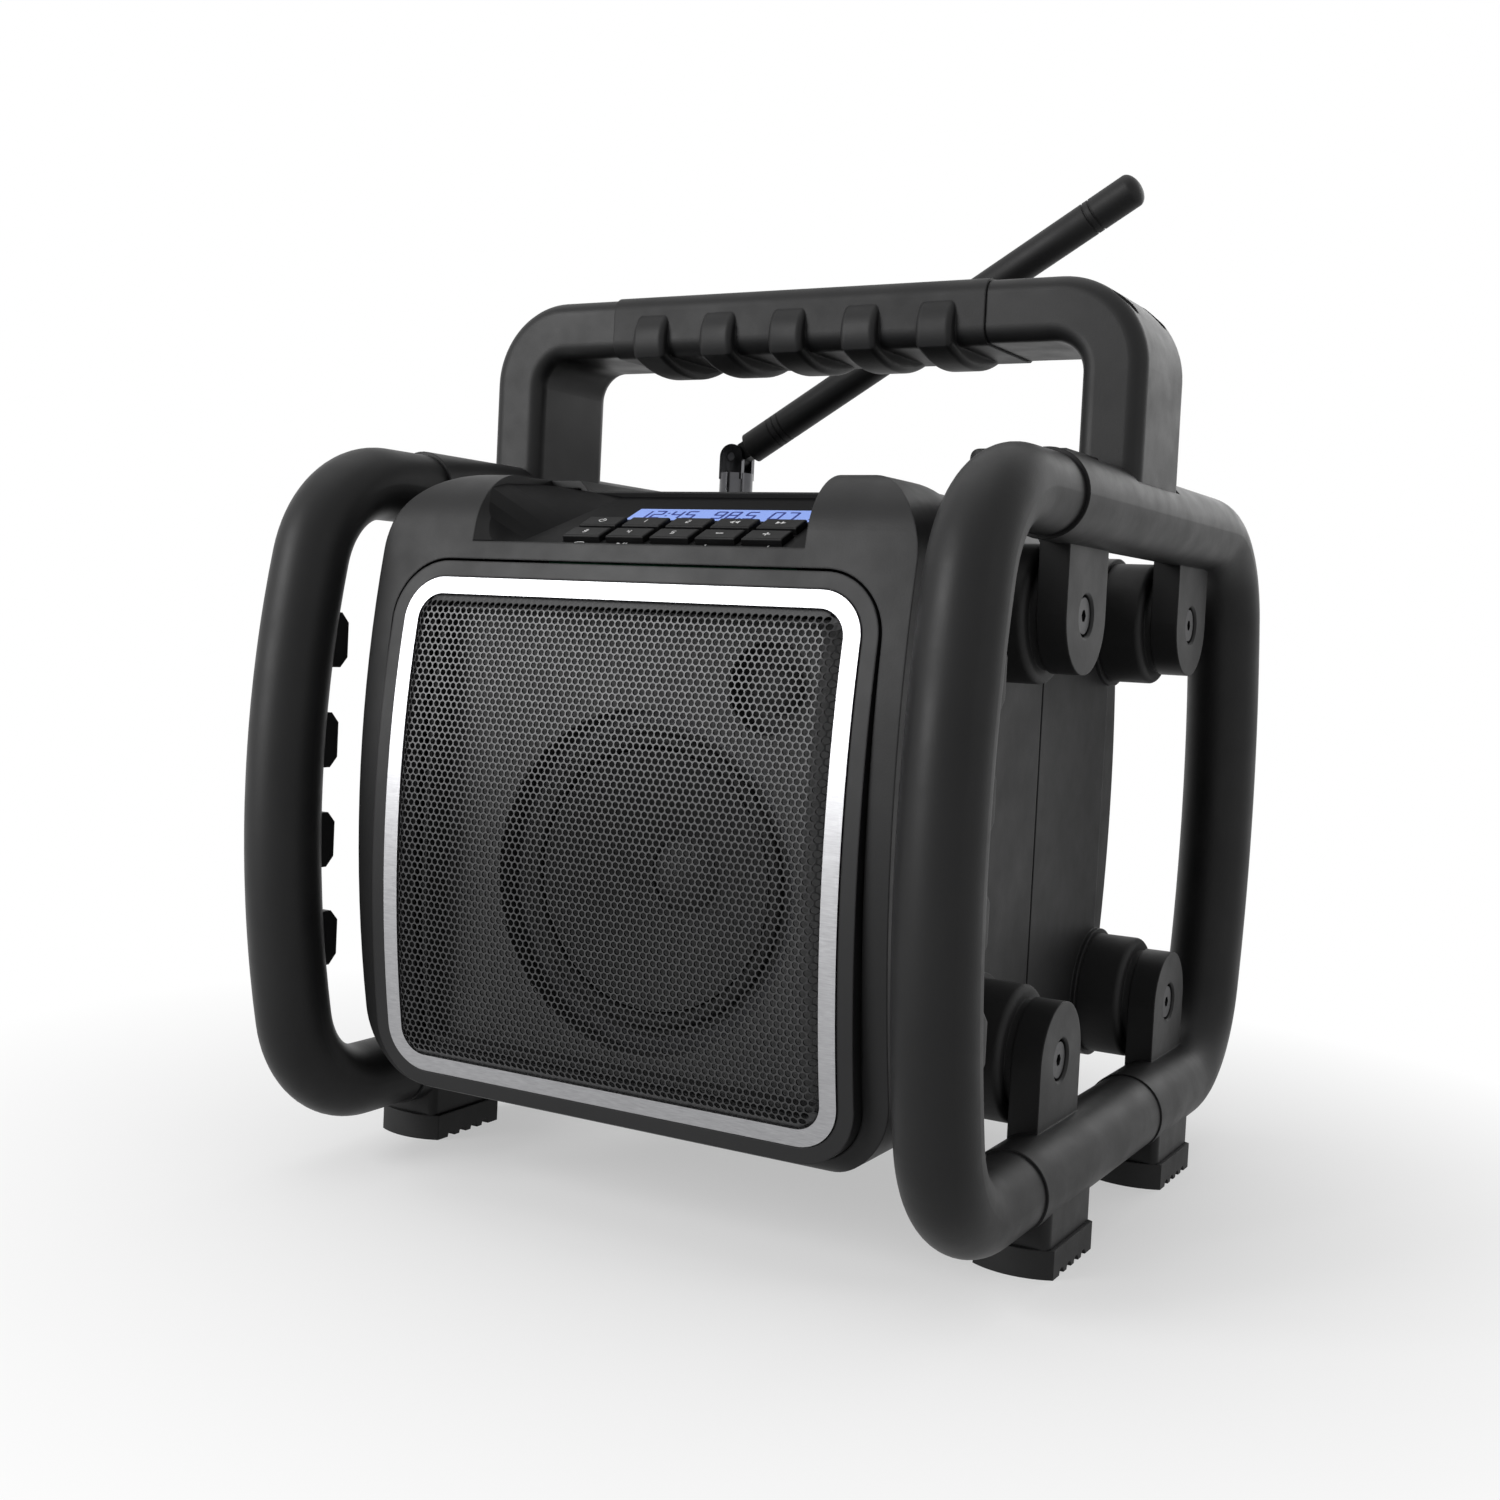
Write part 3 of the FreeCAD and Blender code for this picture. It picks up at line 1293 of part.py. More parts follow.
def button(index):
    """One key: a cap through the panel with a flange below it and a dished top."""
    x, v = button_places()[index]
    top = -panel_recess
    under = top - panel_thickness
    cap = box(x - button_width / 2, x + button_width / 2, v - button_length / 2, v + button_length / 2,
              under - 0.3, top + button_proud)
    edges = [e for e in cap.Edges if abs(e.CenterOfMass.z - (top + button_proud)) < 0.01]
    cap = cap.makeFillet(0.8, edges)
    w = button_width / 2 + button_flange
    h = button_length / 2 + button_flange
    flange = box(x - w, x + w, v - h, v + h, under - 0.3 - button_flange_thickness, under - 0.3)
    return single(on_panel(cap.fuse(flange).removeSplitter()))


def keypad_board():
    """Circuit board below the keys, with a switch under each and posts up to the panel."""
    rest = -panel_recess - panel_thickness - 0.3 - button_flange_thickness
    switch_top = rest - button_travel - 0.2
    board_top = switch_top - switch_height
    x0 = button_first_x - button_width
    x1 = button_first_x + (button_columns - 1) * button_pitch + button_width * 0.8
    v0 = button_front_row - button_length / 2 - 0.9
    v1 = display_front - 1.0
    board = box(x0, x1, v0, v1, board_top - board_thickness, board_top)
    half = switch_size / 2
    for x, v in button_places():
        board = board.fuse(box(x - half, x + half, v - half, v + half, board_top, switch_top))
    for x in (x0 + 1.2, x1 - 1.2):
        for v in (v0 + 2, v1 - 2):
            board = board.fuse(Part.makeCylinder(1.1, -panel_recess - panel_thickness - board_top,
                                                 V(x, v, board_top)))
    return single(on_panel(board))


# Antenna

def antenna_socket_block():
    return rod_z(antenna_socket_z - 34, antenna_socket_z, antenna_x, antenna_y, antenna_socket_r)


def antenna_socket():
    """Threaded metal socket in the casing's rear corner."""
    block = antenna_socket_block()
    return single(block.cut(rod_z(antenna_socket_z - 14, antenna_socket_z + 1, antenna_x, antenna_y,
                                  antenna_stem_r + slip_gap)))


def antenna_coupler():
    """Swivelling base of the antenna with two knuckle ears."""
    z0 = antenna_socket_z + antenna_side_gap
    z1 = antenna_elbow_z - antenna_knuckle_r - 1.5
    body = rod_z(z0, z1, antenna_x, antenna_y, antenna_coupler_r)
    body = body.fuse(rod_z(antenna_socket_z - 13, z0, antenna_x, antenna_y, antenna_stem_r))
    body = body.cut(rod_z(z0 + 9, z0 + 9.8, antenna_x, antenna_y, antenna_coupler_r + 1).cut(
        rod_z(z0 + 8, z0 + 11, antenna_x, antenna_y, antenna_coupler_r - 0.5)))
    inner = antenna_tongue / 2 + antenna_side_gap
    for side in (-1, 1):
        y0 = antenna_y + side * inner
        y1 = antenna_y + side * (inner + antenna_ear)
        ear = rod_y(y0, y1, antenna_x, antenna_elbow_z, antenna_knuckle_r).fuse(
            box(antenna_x - antenna_knuckle_r, antenna_x + antenna_knuckle_r, y0, y1, z1 - 3,
                antenna_elbow_z))
        body = body.fuse(ear.common(rod_z(z1 - 3, antenna_elbow_z + 10, antenna_x, antenna_y,
                                          antenna_coupler_r + 1)))
    body = body.cut(rod_y(antenna_y - 20, antenna_y + 20, antenna_x, antenna_elbow_z, antenna_pin_r))
    return single(body)


def antenna_pin():
    half = antenna_tongue / 2 + antenna_side_gap + antenna_ear - 0.3
    return rod_y(antenna_y - half, antenna_y + half, antenna_x, antenna_elbow_z, antenna_pin_r)


def antenna_whip():
    """Rubber-covered whip with a flat tongue, moulded rings and a round tip."""
    axis = V(0, 0, 1)
    start = antenna_knuckle_r + 3.0
    end = antenna_length
    body = rod(V(0, 0, start), axis, antenna_whip_r, end - start - antenna_whip_r * 0.6)
    tip = Part.makeSphere(antenna_whip_r, V(0, 0, 0))
    stretch = FreeCAD.Matrix()
    stretch.scale(1, 1, 0.6)
    tip = tip.transformGeometry(stretch)
    tip.translate(V(0, 0, end - antenna_whip_r * 0.6))
    body = body.fuse(tip)
    for z in (start + 14, start + 17, start + 20, end - 25, end - 22):
        ring = rod(V(0, 0, z), axis, antenna_whip_r + 1, 0.8).cut(
            rod(V(0, 0, z - 1), axis, antenna_whip_r - 0.5, 3))
        body = body.cut(ring)
    half = antenna_tongue / 2
    tongue = box(-4.2, 4.2, -half, half, 0, start + 2).fuse(
        Part.makeCylinder(antenna_knuckle_r - 0.4, antenna_tongue, V(0, -half, 0), V(0, 1, 0)))
    body = body.fuse(tongue)
    body = body.cut(Part.makeCylinder(antenna_pin_r + slip_gap, 40, V(0, -20, 0), V(0, 1, 0)))
    body.rotate(V(0, 0, 0), V(0, 1, 0), antenna_lean)
    body.translate(V(antenna_x, antenna_y, antenna_elbow_z))
    return single(body)


def main():
    for side, word in ((-1, "left"), (1, "right")):
        save(word + "_upper_frame", upper_frame(side))
        save(word + "_lower_link", lower_link(side))
        save(word + "_front_grip", front_grip(side))
        save(word + "_grip_core", grip_core(side))
        save(word + "_dampers", dampers(side))
    save("rubber_feet", group([rubber_foot(side, y) for side in (-1, 1) for y in (foot_front_y, foot_rear_y)]))
    save("carry_handle", carry_handle())
    save("handle_grip", handle_grip())
    save("handle_screws", handle_screws())
    save("foot_screws", foot_screws())
    save("mount_bolts", mount_bolts())
    save("mount_washers", mount_washers())
    save("mount_studs", mount_studs())
    save("front_casing", front_casing())
    save("centre_casing", centre_casing())
    save("casing_gasket", gasket_shape())
    save("rear_casing", rear_casing())
    save("casing_screws", casing_screws())
    save("battery_door", battery_door())
    save("door_latch", door_latch())
    save("door_hinge_pin", hinge_pin())
    tray, tray_front, tray_rear, tray_top = battery_box()
    save("battery_box", tray)
    save("battery_cells", battery_cells(tray_front))
    save("battery_contacts", battery_contacts(tray_front))
    save("main_board", main_board(tray_front, tray_rear, tray_top))
    save("socket_panel", socket_panel())
    save("socket_cover", socket_cover())
    save("front_bezel", front_bezel())
    save("grille_frame", grille_frame())
    save("grille_mesh", grille_mesh())
    save("speaker_baffle", whole_baffle())
    save("woofer_basket", woofer_basket())
    save("woofer_surround", woofer_surround())
    save("woofer_cone", woofer_cone())
    save("woofer_magnet", woofer_magnet())
    save("tweeter", tweeter())
    save("control_panel", control_panel())
    save("display_lens", display_lens())
    save("display_module", display_module())
    save("keypad_board", keypad_board())
    for index in range(2 * button_columns):
        save("button_" + str(index + 1), button(index))
    save("antenna_socket", antenna_socket())
    save("antenna_coupler", antenna_coupler())
    save("antenna_pin", antenna_pin())
    save("antenna_whip", antenna_whip())


main()
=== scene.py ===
import json
import math

import bpy
from mathutils import Matrix, Vector


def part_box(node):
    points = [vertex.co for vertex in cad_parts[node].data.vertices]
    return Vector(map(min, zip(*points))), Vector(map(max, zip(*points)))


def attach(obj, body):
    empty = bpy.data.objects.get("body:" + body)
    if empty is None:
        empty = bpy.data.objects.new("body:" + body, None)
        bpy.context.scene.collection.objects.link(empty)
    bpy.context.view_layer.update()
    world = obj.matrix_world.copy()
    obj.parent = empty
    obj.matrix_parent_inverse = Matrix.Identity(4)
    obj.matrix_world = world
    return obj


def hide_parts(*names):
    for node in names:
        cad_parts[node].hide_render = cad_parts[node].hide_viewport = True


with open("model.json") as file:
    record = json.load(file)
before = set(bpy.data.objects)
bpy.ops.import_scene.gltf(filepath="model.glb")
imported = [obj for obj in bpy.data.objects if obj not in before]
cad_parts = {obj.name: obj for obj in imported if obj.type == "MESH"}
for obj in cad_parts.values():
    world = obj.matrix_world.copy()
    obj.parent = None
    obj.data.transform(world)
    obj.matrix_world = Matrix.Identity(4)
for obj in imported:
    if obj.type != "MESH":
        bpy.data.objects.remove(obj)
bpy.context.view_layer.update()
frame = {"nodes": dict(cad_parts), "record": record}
nodes = frame["nodes"]

# Sizes in metres, those of the panel, keys and grille the same as the part's own
MM = 0.001
FACE_R = 0.430
PANEL_FRONT = Vector((0, -0.1353, 0.2419))
PANEL_SLOPE = math.radians(24.0)
PANEL_RECESS = 0.0012
KEY_FIRST_X = -0.0234
KEY_PITCH = 0.0181
KEY_FRONT_ROW = 0.0088
KEY_ROW_PITCH = 0.0110
KEY_PROUD = 0.0024
KEY_COLUMNS = 5
LOW_MARKS_ROW = 0.0029
SYMBOL_LINE = 0.0004
SYMBOL_HEIGHT = 0.0024
SYMBOL_THICKNESS = 0.00012
DISPLAY_ROW = 0.0332
DISPLAY_HEIGHT = 0.0066
DISPLAY_THICKNESS = 0.00008
DISPLAY_WIDTH_SHARE = 0.56
DISPLAY_BARS = 5
MESH_PITCH = 0.0026
MESH_HOLE_R = 0.00112
MESH_RIM = 0.0002
MESH_THICKNESS = 0.0007
MESH_EDGE = 0.0055
MESH_EDGE_DROP = 0.0040
MESH_CORNER_R = 0.0095
MESH_SIDE_GAP = 0.00002
MESH_LEAST_EDGE = 0.0004
CELL_CORNERS = 12
FLOOR_HALF = 6.0
FLOOR_FADE_START = 0.15
FLOOR_FADE_END = 0.42
FLOOR_WHITE_NEAR = 0.45
WORLD_GLOW = 0.33


# Materials

def new_material(name):
    material = bpy.data.materials.new(name)
    material.use_nodes = True
    tree = material.node_tree
    shader = tree.nodes["Principled BSDF"]
    return material, tree, shader


def noise(tree, scale, detail=3.0, rough=0.5, stretch=None):
    coords = tree.nodes.new("ShaderNodeTexCoord")
    texture = tree.nodes.new("ShaderNodeTexNoise")
    texture.inputs["Scale"].default_value = scale
    texture.inputs["Detail"].default_value = detail
    texture.inputs["Roughness"].default_value = rough
    source = coords.outputs["Object"]
    if stretch:
        mapping = tree.nodes.new("ShaderNodeMapping")
        mapping.inputs["Scale"].default_value = stretch
        tree.links.new(source, mapping.inputs["Vector"])
        source = mapping.outputs["Vector"]
    tree.links.new(source, texture.inputs["Vector"])
    return texture.outputs["Fac"]


def ramp(tree, source, low, high, start=0.3, end=0.7):
    node = tree.nodes.new("ShaderNodeMapRange")
    node.inputs["From Min"].default_value = start
    node.inputs["From Max"].default_value = end
    node.inputs["To Min"].default_value = low
    node.inputs["To Max"].default_value = high
    tree.links.new(source, node.inputs["Value"])
    return node.outputs["Result"]


def larger(tree, first, second):
    node = tree.nodes.new("ShaderNodeMath")
    node.operation = "MAXIMUM"
    tree.links.new(first, node.inputs[0])
    tree.links.new(second, node.inputs[1])
    return node.outputs[0]


def background_rays(tree):
    """1 for the rays that see the white background: from the camera, off metal and through glass."""
    path = tree.nodes.new("ShaderNodeLightPath")
    mirrored = larger(tree, path.outputs["Is Glossy Ray"], path.outputs["Is Transmission Ray"])
    return larger(tree, path.outputs["Is Camera Ray"], mirrored)


def colour_mix(tree, factor, first, second):
    node = tree.nodes.new("ShaderNodeMix")
    node.data_type = "RGBA"
    node.inputs["A"].default_value = (*first, 1)
    node.inputs["B"].default_value = (*second, 1)
    tree.links.new(factor, node.inputs["Factor"])
    return node.outputs["Result"]


def moulded(name, dark, light, roughness, grain_scale, grain_height, specular=0.2, edge=0.0009):
    """Moulded plastic or rubber: mottled colour, uneven gloss, fine grain and soft edges.

    grain_height and edge, the radius of the shaded edges, are in metres.
    """
    material, tree, shader = new_material(name)
    cloud = noise(tree, 18.0, 4.0)
    tree.links.new(colour_mix(tree, ramp(tree, cloud, 0, 1), dark, light), shader.inputs["Base Color"])
    smear = noise(tree, 55.0, 5.0, 0.6)
    tree.links.new(ramp(tree, smear, roughness - 0.05, roughness + 0.06), shader.inputs["Roughness"])
    shader.inputs["Specular IOR Level"].default_value = specular
    soft = tree.nodes.new("ShaderNodeBevel")
    soft.samples = 4
    soft.inputs["Radius"].default_value = edge
    bump = tree.nodes.new("ShaderNodeBump")
    bump.inputs["Strength"].default_value = 0.5
    bump.inputs["Distance"].default_value = grain_height
    tree.links.new(noise(tree, grain_scale, 2.0), bump.inputs["Height"])
    tree.links.new(soft.outputs["Normal"], bump.inputs["Normal"])
    tree.links.new(bump.outputs["Normal"], shader.inputs["Normal"])
    return material


def metal(name, dark, light, roughness, scale, stretch=None, metallic=1.0):
    """Metal with a drawn or plain grain in its colour and gloss."""
    material, tree, shader = new_material(name)
    grain = noise(tree, scale, 4.0, 0.6, stretch)
    tree.links.new(colour_mix(tree, ramp(tree, grain, 0, 1), dark, light), shader.inputs["Base Color"])
    tree.links.new(ramp(tree, grain, roughness - 0.05, roughness + 0.07), shader.inputs["Roughness"])
    shader.inputs["Metallic"].default_value = metallic
    bump = tree.nodes.new("ShaderNodeBump")
    bump.inputs["Strength"].default_value = 0.25
    bump.inputs["Distance"].default_value = 0.00004
    tree.links.new(grain, bump.inputs["Height"])
    tree.links.new(bump.outputs["Normal"], shader.inputs["Normal"])
    return material


def display_material():
    """A lit display: even blue with faint pixel rows."""
    material, tree, shader = new_material("display_blue")
    coords = tree.nodes.new("ShaderNodeTexCoord")
    wave = tree.nodes.new("ShaderNodeTexWave")
    wave.inputs["Scale"].default_value = 900.0
    tree.links.new(coords.outputs["Object"], wave.inputs["Vector"])
    colour = colour_mix(tree, wave.outputs["Fac"], (0.20, 0.30, 0.70), (0.27, 0.38, 0.80))
    tree.links.new(colour, shader.inputs["Base Color"])
    tree.links.new(colour, shader.inputs["Emission Color"])
    shader.inputs["Emission Strength"].default_value = 0.35
    shader.inputs["Roughness"].default_value = 0.25
    return material


CAGE = moulded("cage_rubber", (0.0075, 0.0075, 0.0078), (0.0105, 0.0105, 0.0108), 0.46, 1500, 0.00005)
HANDLE = moulded("handle_plastic", (0.0085, 0.0085, 0.0088), (0.0115, 0.0115, 0.0118), 0.44, 1500, 0.00005)
GRIP = moulded("grip_rubber", (0.0075, 0.0075, 0.0078), (0.0100, 0.0100, 0.0103), 0.50, 1200, 0.00006)
RUBBER = moulded("soft_rubber", (0.0035, 0.0035, 0.0037), (0.0055, 0.0055, 0.0057), 0.62, 900, 0.00008, 0.3)
CASING = moulded("casing_plastic", (0.0095, 0.0095, 0.0098), (0.0130, 0.0130, 0.0134), 0.47, 1400, 0.00006)
BEZEL = moulded("bezel_grey", (0.0150, 0.0150, 0.0155), (0.0190, 0.0190, 0.0195), 0.45, 1500, 0.00005)
PANEL = moulded("panel_black", (0.0020, 0.0020, 0.0022), (0.0030, 0.0030, 0.0032), 0.45, 1600, 0.00002,
                0.06, 0.0004)
KEY = moulded("key_black", (0.0030, 0.0030, 0.0032), (0.0045, 0.0045, 0.0047), 0.42, 1300, 0.00003,
              0.12, 0.0004)
BAFFLE = moulded("baffle_black", (0.040, 0.040, 0.0405), (0.055, 0.055, 0.0555), 0.6, 900, 0.00008, 0.3)
CONE = moulded("cone_paper", (0.022, 0.022, 0.0225), (0.030, 0.030, 0.0305), 0.65, 700, 0.0001, 0.3)
WHIP = moulded("antenna_rubber", (0.0065, 0.0065, 0.0068), (0.0090, 0.0090, 0.0093), 0.5, 1200, 0.00004)
TRAY = moulded("tray_plastic", (0.03, 0.03, 0.031), (0.04, 0.04, 0.041), 0.5, 1000, 0.00005)
BOARD = moulded("circuit_board", (0.008, 0.07, 0.03), (0.012, 0.10, 0.045), 0.4, 600, 0.00004)
WRAP = moulded("battery_wrap", (0.05, 0.055, 0.06), (0.07, 0.075, 0.08), 0.3, 600, 0.00002)
SILVER = metal("brushed_silver", (0.31, 0.31, 0.32), (0.41, 0.41, 0.42), 0.38, 260, (1, 1, 14))
MESH = metal("mesh_black", (0.030, 0.030, 0.031), (0.042, 0.042, 0.043), 0.36, 300, None, 0.35)
STEEL = metal("dark_steel", (0.03, 0.03, 0.032), (0.05, 0.05, 0.053), 0.38, 500)
TUBE = metal("steel_tube", (0.10, 0.10, 0.11), (0.14, 0.14, 0.15), 0.4, 400)
CHROME = metal("dark_chrome", (0.07, 0.07, 0.075), (0.10, 0.10, 0.105), 0.18, 120)
SPEAKER = metal("speaker_metal", (0.03, 0.03, 0.032), (0.05, 0.05, 0.052), 0.45, 400)
CONTACT = metal("contact_metal", (0.5, 0.5, 0.52), (0.65, 0.65, 0.67), 0.3, 400)
SYMBOL = moulded("symbol_white", (0.72, 0.72, 0.72), (0.80, 0.80, 0.80), 0.5, 900, 0.00001)
DIGIT = moulded("digit_blue", (0.03, 0.05, 0.25), (0.04, 0.06, 0.30), 0.5, 900, 0.00001)
DISPLAY = display_material()

SLOTS = {
    "cage_rubber": CAGE, "steel_tube": TUBE, "casing_plastic": CASING, "handle_plastic": HANDLE,
    "grip_rubber": GRIP, "soft_rubber": RUBBER, "dark_steel": STEEL, "bezel_grey": BEZEL,
    "brushed_silver": SILVER, "mesh_black": MESH, "baffle_black": BAFFLE, "speaker_metal": SPEAKER,
    "cone_paper": CONE, "tweeter_black": CONE, "panel_black": PANEL, "display_clear": DISPLAY,
    "display_blue": DISPLAY, "circuit_board": BOARD, "key_black": KEY, "battery_wrap": WRAP,
    "contact_metal": CONTACT, "tray_plastic": TRAY, "dark_chrome": CHROME, "antenna_rubber": WHIP,
}


def dress_cad_nodes():
    slot_of = {row["node"]: row["material_slot"] for row in frame["record"]["subparts"]}
    for name, node in nodes.items():
        node.data.materials.clear()
        node.data.materials.append(SLOTS[slot_of[name]])


# Mesh helpers

def mesh_object(name, points, faces, material):
    mesh = bpy.data.meshes.new(name)
    mesh.from_pydata(points, [], faces)
    mesh.validate()
    mesh.materials.append(material)
    mesh.update()
    piece = bpy.data.objects.new(name, mesh)
    bpy.context.scene.collection.objects.link(piece)
    return piece


def on_panel(x, v, height):
    """A point given across, up the slope and out of the control panel's face."""
    local = Vector((x, v, height - PANEL_RECESS))
    return Matrix.Rotation(PANEL_SLOPE, 3, "X") @ local + PANEL_FRONT


# Grille

def grille():
    """The perforated grille: hexagonal cells, each with a round hole, on a pillow shape."""
    low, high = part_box("grille_mesh")
    half_x = high.x - MESH_SIDE_GAP
    half_z = (high.z - low.z) / 2
    mid_z = (low.z + high.z) / 2

    def inside(x, z):
        """Distance in from the grille's rounded outline."""
        dx = half_x - abs(x)
        dz = half_z - abs(z - mid_z)
        if dx < MESH_CORNER_R and dz < MESH_CORNER_R:
            return MESH_CORNER_R - math.hypot(MESH_CORNER_R - dx, MESH_CORNER_R - dz)
        return min(dx, dz)

    def depth(x, z):
        """The front face's Y: the bowed face, dropping back along its rim."""
        height = z - mid_z
        fall = FACE_R - math.sqrt(FACE_R * FACE_R - height * height)
        share = max(0.0, min(1.0, 1 - inside(x, z) / MESH_EDGE))
        return low.y + fall + MESH_EDGE_DROP * share * share

    points = []
    index = {}
    faces = []

    def vertex(x, z, back):
        """The number of a point, shared by the cells that meet there."""
        key = (round(x * 1e6), round(z * 1e6), back)
        if key not in index:
            index[key] = len(points)
            points.append((x, depth(x, z) + (MESH_THICKNESS if back else 0.0), z))
        return index[key]

    cell_r = MESH_PITCH / math.sqrt(3)
    rim = [math.pi / 6 * k + math.pi / 6 for k in range(CELL_CORNERS)]
    reaches = [cell_r if k % 2 == 0 else cell_r * math.cos(math.pi / 6) for k in range(CELL_CORNERS)]
    pairs = [(k, (k + 1) % CELL_CORNERS) for k in range(CELL_CORNERS)]

    def cell(x, z, holed):
        outer = [(x + reach * math.cos(a), z + reach * math.sin(a)) for reach, a in zip(reaches, rim)]
        inner = [(x + MESH_HOLE_R * math.cos(a), z + MESH_HOLE_R * math.sin(a)) for a in rim]
        holes = []
        for back in (False, True):
            ring = [vertex(px, pz, back) for px, pz in outer]
            if not holed:
                faces.append(ring[::-1] if back else ring)
                continue
            hole = [vertex(px, pz, back) for px, pz in inner]
            holes.append(hole)
            for k, j in pairs:
                quad = (ring[k], ring[j], hole[j], hole[k])
                faces.append(quad[::-1] if back else quad)
        if holed:
            front, rear = holes
            faces.extend((front[k], front[j], rear[j], rear[k]) for k, j in pairs)

    row_pitch = MESH_PITCH * math.sqrt(3) / 2
    rows = int(half_z / row_pitch) + 1
    columns = int(half_x / MESH_PITCH) + 1
    for row in range(-rows, rows + 1):
        z = mid_z + row * row_pitch
        for column in range(-columns, columns + 1):
            x = (column + (0.5 if row % 2 else 0.0)) * MESH_PITCH
            edge = inside(x, z)
            if edge >= MESH_LEAST_EDGE:
                cell(x, z, edge > MESH_HOLE_R + MESH_RIM)
    piece = mesh_object("grille_perforated", points, faces, MESH)
    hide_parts("grille_mesh")
    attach(piece, "radio")


# Symbols

def strip(points, width):
    """A polyline as a list of quads in the panel's plane."""
    quads = []
    for (x0, y0), (x1, y1) in zip(points, points[1:]):
        length = math.hypot(x1 - x0, y1 - y0)
        nx = -(y1 - y0) / length * width / 2
        ny = (x1 - x0) / length * width / 2
        quads.append([(x0 + nx, y0 + ny), (x0 - nx, y0 - ny), (x1 - nx, y1 - ny), (x1 + nx, y1 + ny)])
    return quads


def arc_points(radius, start, end, count=14):
    """Points along an arc, from one angle to another in degrees."""
    angles = [math.radians(start + (end - start) * k / count) for k in range(count + 1)]
    return [(radius * math.cos(a), radius * math.sin(a)) for a in angles]


def triangle(x, size):
    """An arrow head that points to the right."""
    return [(x, -size), (x + size * 1.5, 0), (x, size)]


SEGMENTS = {"0": "abcdef", "1": "bc", "2": "abged", "3": "abgcd", "4": "fgbc", "5": "afgcd",
            "6": "afgedc", "7": "abc", "8": "abcdefg", "9": "abcdfg"}
SEGMENT_ENDS = {"a": ((0, 1), (1, 1)), "b": ((1, 1), (1, 0.5)), "c": ((1, 0.5), (1, 0)),
                "d": ((0, 0), (1, 0)), "e": ((0, 0), (0, 0.5)), "f": ((0, 0.5), (0, 1)),
                "g": ((0, 0.5), (1, 0.5))}


def digit_strips(text, height, width_share=0.5, line=0.13):
    """Plain seven-segment numbers, with points and colons, centred on their middle."""
    quads = []
    advance = 0.0
    wide = height * width_share
    for letter in text:
        if letter in SEGMENTS:
            for key in SEGMENTS[letter]:
                ends = [(advance + px * wide, (py - 0.5) * height) for px, py in SEGMENT_ENDS[key]]
                quads += strip(ends, height * line)
            advance += wide + height * 0.32
        elif letter == ".":
            left = advance - height * 0.08
            right = advance + height * 0.06
            quads += strip([(left, -height * 0.5), (right, -height * 0.5)], height * line)
            advance += height * 0.18
        elif letter == ":":
            left = advance - height * 0.06
            right = advance + height * 0.06
            for py in (-0.2, 0.2):
                quads += strip([(left, py * height), (right, py * height)], height * line)
            advance += height * 0.3
    return [[(x - advance / 2, y) for x, y in quad] for quad in quads]


def in_mm(points):
    return [(x * MM, y * MM) for x, y in points]


def mirrored_shapes(shapes):
    return [[(-x, y) for x, y in shape] for shape in shapes]


def key_symbols():
    """The symbol on each key's top, front row first."""
    power = strip(in_mm(arc_points(1.3, 125, 415)), SYMBOL_LINE)
    power += strip(in_mm([(0, 0.3), (0, 1.8)]), SYMBOL_LINE)
    ahead = [triangle(0.2 * MM, 1.1 * MM), triangle(-1.8 * MM, 1.1 * MM)]
    minus = strip(in_mm([(-1.4, 0), (1.4, 0)]), 0.5 * MM)
    plus = minus + strip(in_mm([(0, -1.4), (0, 1.4)]), 0.5 * MM)
    numbers = [digit_strips(digit, SYMBOL_HEIGHT) for digit in "12345"]
    return numbers[2:] + [minus, plus, power] + numbers[:2] + [mirrored_shapes(ahead), ahead]


def key_marks():
    for index, shapes in enumerate(key_symbols()):
        row, column = divmod(index, KEY_COLUMNS)
        x = KEY_FIRST_X + column * KEY_PITCH
        v = KEY_FRONT_ROW + row * KEY_ROW_PITCH
        name = "key_" + str(index + 1)
        flat_marks(name + "_symbol", [(x, v, shapes)], KEY_PROUD, SYMBOL_THICKNESS, SYMBOL, name)


def panel_marks():
    """The marks in front of the lower key row."""
    play = [triangle(-2.4 * MM, 1.0 * MM)]
    for x in (0.3, 1.4):
        play += strip(in_mm([(x, -1.0), (x, 1.0)]), 0.45 * MM)
    loop = strip([(x * 1.7, y) for x, y in in_mm(arc_points(1.1, 20, 330))], SYMBOL_LINE)
    bracket = strip(in_mm([(-3, 1.0), (-3, -0.4), (2, -0.4)]), SYMBOL_LINE)
    columns = ((0, loop), (1, play), (3, bracket), (4, mirrored_shapes(bracket)))
    return [(KEY_FIRST_X + k * KEY_PITCH, LOW_MARKS_ROW, shapes) for k, shapes in columns]


def flat_marks(name, marks, height, thickness, material, body="radio"):
    """Thin raised marks on the panel as one closed mesh."""
    points = []
    faces = []
    for x, v, shapes in marks:
        for shape in shapes:
            area = sum(x0 * y1 - x1 * y0 for (x0, y0), (x1, y1) in zip(shape, shape[1:] + shape[:1]))
            outline = shape if area > 0 else shape[::-1]
            start = len(points)
            count = len(outline)
            for level in (height, height + thickness):
                points += [on_panel(x + px, v + py, level) for px, py in outline]
            faces.append(tuple(range(start + count - 1, start - 1, -1)))
            faces.append(tuple(range(start + count, start + 2 * count)))
            for k in range(count):
                j = (k + 1) % count
                faces.append((start + k, start + j, start + count + j, start + count + k))
    piece = mesh_object(name, points, faces, material)
    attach(piece, body)


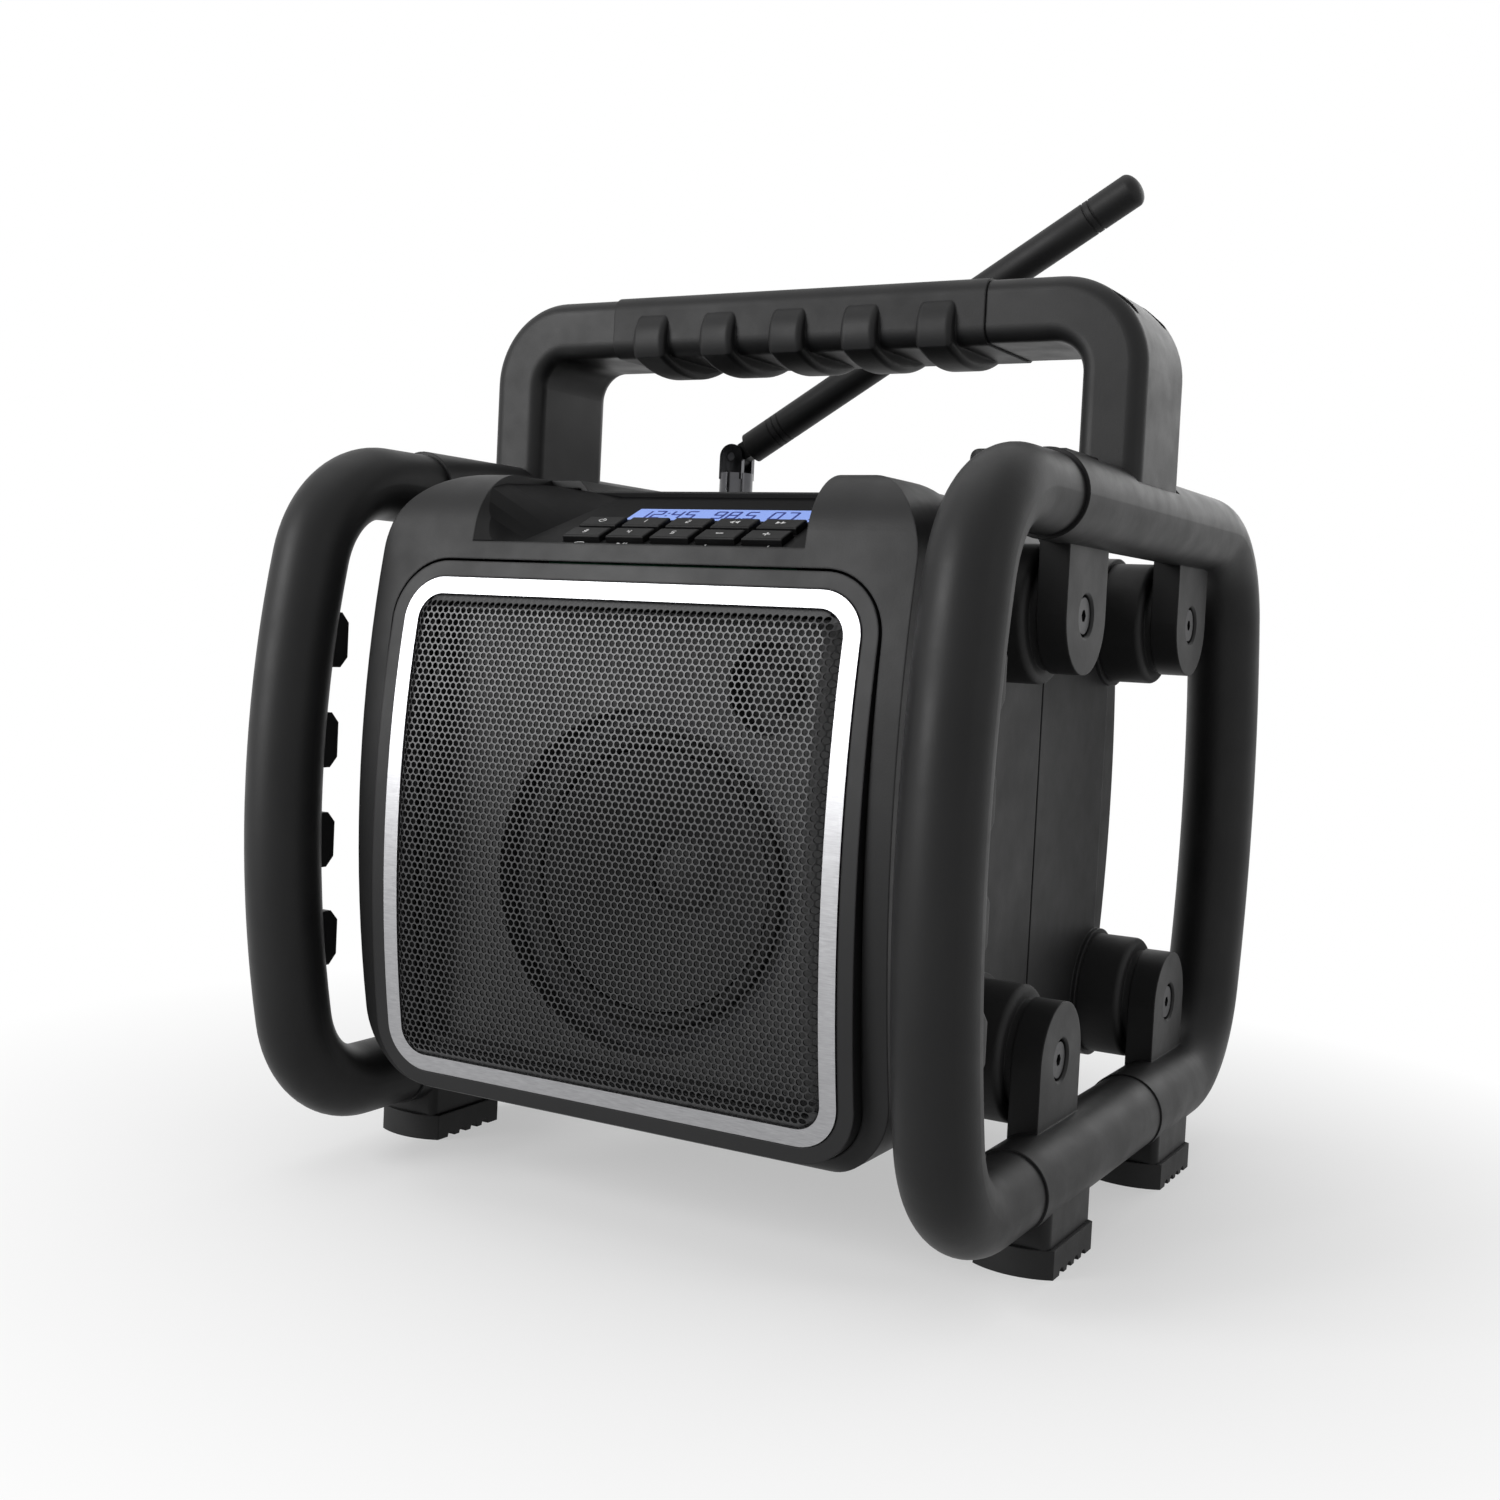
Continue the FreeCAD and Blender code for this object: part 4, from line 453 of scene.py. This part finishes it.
def display_marks():
    """Plain numbers across the display and a small bar scale at its right."""
    numbers = ((-0.0035, "12:45"), (0.0245, "98.5"), (0.0440, "07"))
    marks = [(x, DISPLAY_ROW, digit_strips(text, DISPLAY_HEIGHT, DISPLAY_WIDTH_SHARE)) for x, text in numbers]
    for k in range(DISPLAY_BARS):
        wide = (1.0 + 0.6 * k) * MM
        bar = strip([(-wide / 2, 0), (wide / 2, 0)], 0.8 * MM)
        marks.append((0.0545, DISPLAY_ROW + (1.6 * k - 3.2) * MM, bar))
    return marks


# Stage, lights and camera

def floor_material():
    material, tree, shader = new_material("floor_pale")
    tree.nodes.remove(shader)
    output = tree.nodes["Material Output"]
    diffuse = tree.nodes.new("ShaderNodeBsdfDiffuse")
    diffuse.inputs["Color"].default_value = (0.86, 0.86, 0.86, 1)
    glow = tree.nodes.new("ShaderNodeEmission")
    glow.inputs["Color"].default_value = (1, 1, 1, 1)
    coords = tree.nodes.new("ShaderNodeTexCoord")
    reach = tree.nodes.new("ShaderNodeVectorMath")
    reach.operation = "LENGTH"
    tree.links.new(coords.outputs["Object"], reach.inputs[0])
    fade = tree.nodes.new("ShaderNodeMath")
    fade.operation = "MULTIPLY"
    white = ramp(tree, reach.outputs["Value"], FLOOR_WHITE_NEAR, 1.0, FLOOR_FADE_START, FLOOR_FADE_END)
    tree.links.new(white, fade.inputs[0])
    tree.links.new(background_rays(tree), fade.inputs[1])
    both = tree.nodes.new("ShaderNodeMixShader")
    tree.links.new(fade.outputs[0], both.inputs[0])
    tree.links.new(diffuse.outputs[0], both.inputs[1])
    tree.links.new(glow.outputs[0], both.inputs[2])
    tree.links.new(both.outputs[0], output.inputs["Surface"])
    return material


def make_floor():
    corners = [(x * FLOOR_HALF, y * FLOOR_HALF, 0) for x, y in ((-1, -1), (1, -1), (1, 1), (-1, 1))]
    floor = mesh_object("floor", corners, [(0, 1, 2, 3)], floor_material())


def make_world():
    world = bpy.data.worlds.new("studio")
    bpy.context.scene.world = world
    world.use_nodes = True
    tree = world.node_tree
    background = tree.nodes["Background"]
    background.inputs["Color"].default_value = (1, 1, 1, 1)
    seen = tree.nodes.new("ShaderNodeMath")
    seen.operation = "MAXIMUM"
    seen.inputs[1].default_value = WORLD_GLOW
    tree.links.new(background_rays(tree), seen.inputs[0])
    tree.links.new(seen.outputs[0], background.inputs["Strength"])


def area_light(name, place, target, size, power):
    data = bpy.data.lights.new(name, "AREA")
    data.shape = "RECTANGLE"
    data.size, data.size_y = size
    data.energy = power
    lamp = bpy.data.objects.new(name, data)
    lamp.location = place
    lamp.rotation_euler = (Vector(target) - Vector(place)).to_track_quat("-Z", "Y").to_euler()
    bpy.context.scene.collection.objects.link(lamp)


def make_lights():
    centre = (0, 0, 0.18)
    area_light("key", (-1.2, -1.8, 0.9), centre, (1.0, 1.4), 42)
    area_light("top", (-0.3, -0.1, 1.9), centre, (1.5, 1.5), 6)
    area_light("right", (1.8, -0.3, 0.6), centre, (0.5, 1.3), 1.5)
    area_light("back", (0.3, 1.8, 0.9), centre, (1.4, 0.9), 6)


def make_camera():
    """The photograph's own view, worked out from points of known shape on the radio."""
    data = bpy.data.cameras.new("photo_view")
    camera = bpy.data.objects.new("photo_view", data)
    yaw, pitch, roll = (math.radians(a) for a in (29.79, -2.52, 2.75))
    ahead = Vector((-math.sin(yaw) * math.cos(pitch), math.cos(yaw) * math.cos(pitch), math.sin(pitch)))
    across = Vector((math.cos(yaw), math.sin(yaw), 0))
    above = across.cross(ahead)
    right = across * math.cos(roll) + above * math.sin(roll)
    top = -across * math.sin(roll) + above * math.cos(roll)
    turn = Matrix((right, top, -ahead)).transposed()
    camera.matrix_world = Matrix.Translation((0.3405, -0.6651, 0.2143)) @ turn.to_4x4()
    data.sensor_width = 36.0
    data.lens = 43.74
    data.shift_x = 0.0225
    data.shift_y = -0.0275
    data.clip_start = 0.05
    bpy.context.scene.collection.objects.link(camera)
    bpy.context.scene.camera = camera


dress_cad_nodes()
grille()
key_marks()
flat_marks("panel_symbols", panel_marks(), 0.0, SYMBOL_THICKNESS, SYMBOL)
flat_marks("display_numbers", display_marks(), 0.0, DISPLAY_THICKNESS, DIGIT)
make_floor()
make_world()
make_lights()
make_camera()
bpy.context.scene.view_settings.view_transform = "Standard"
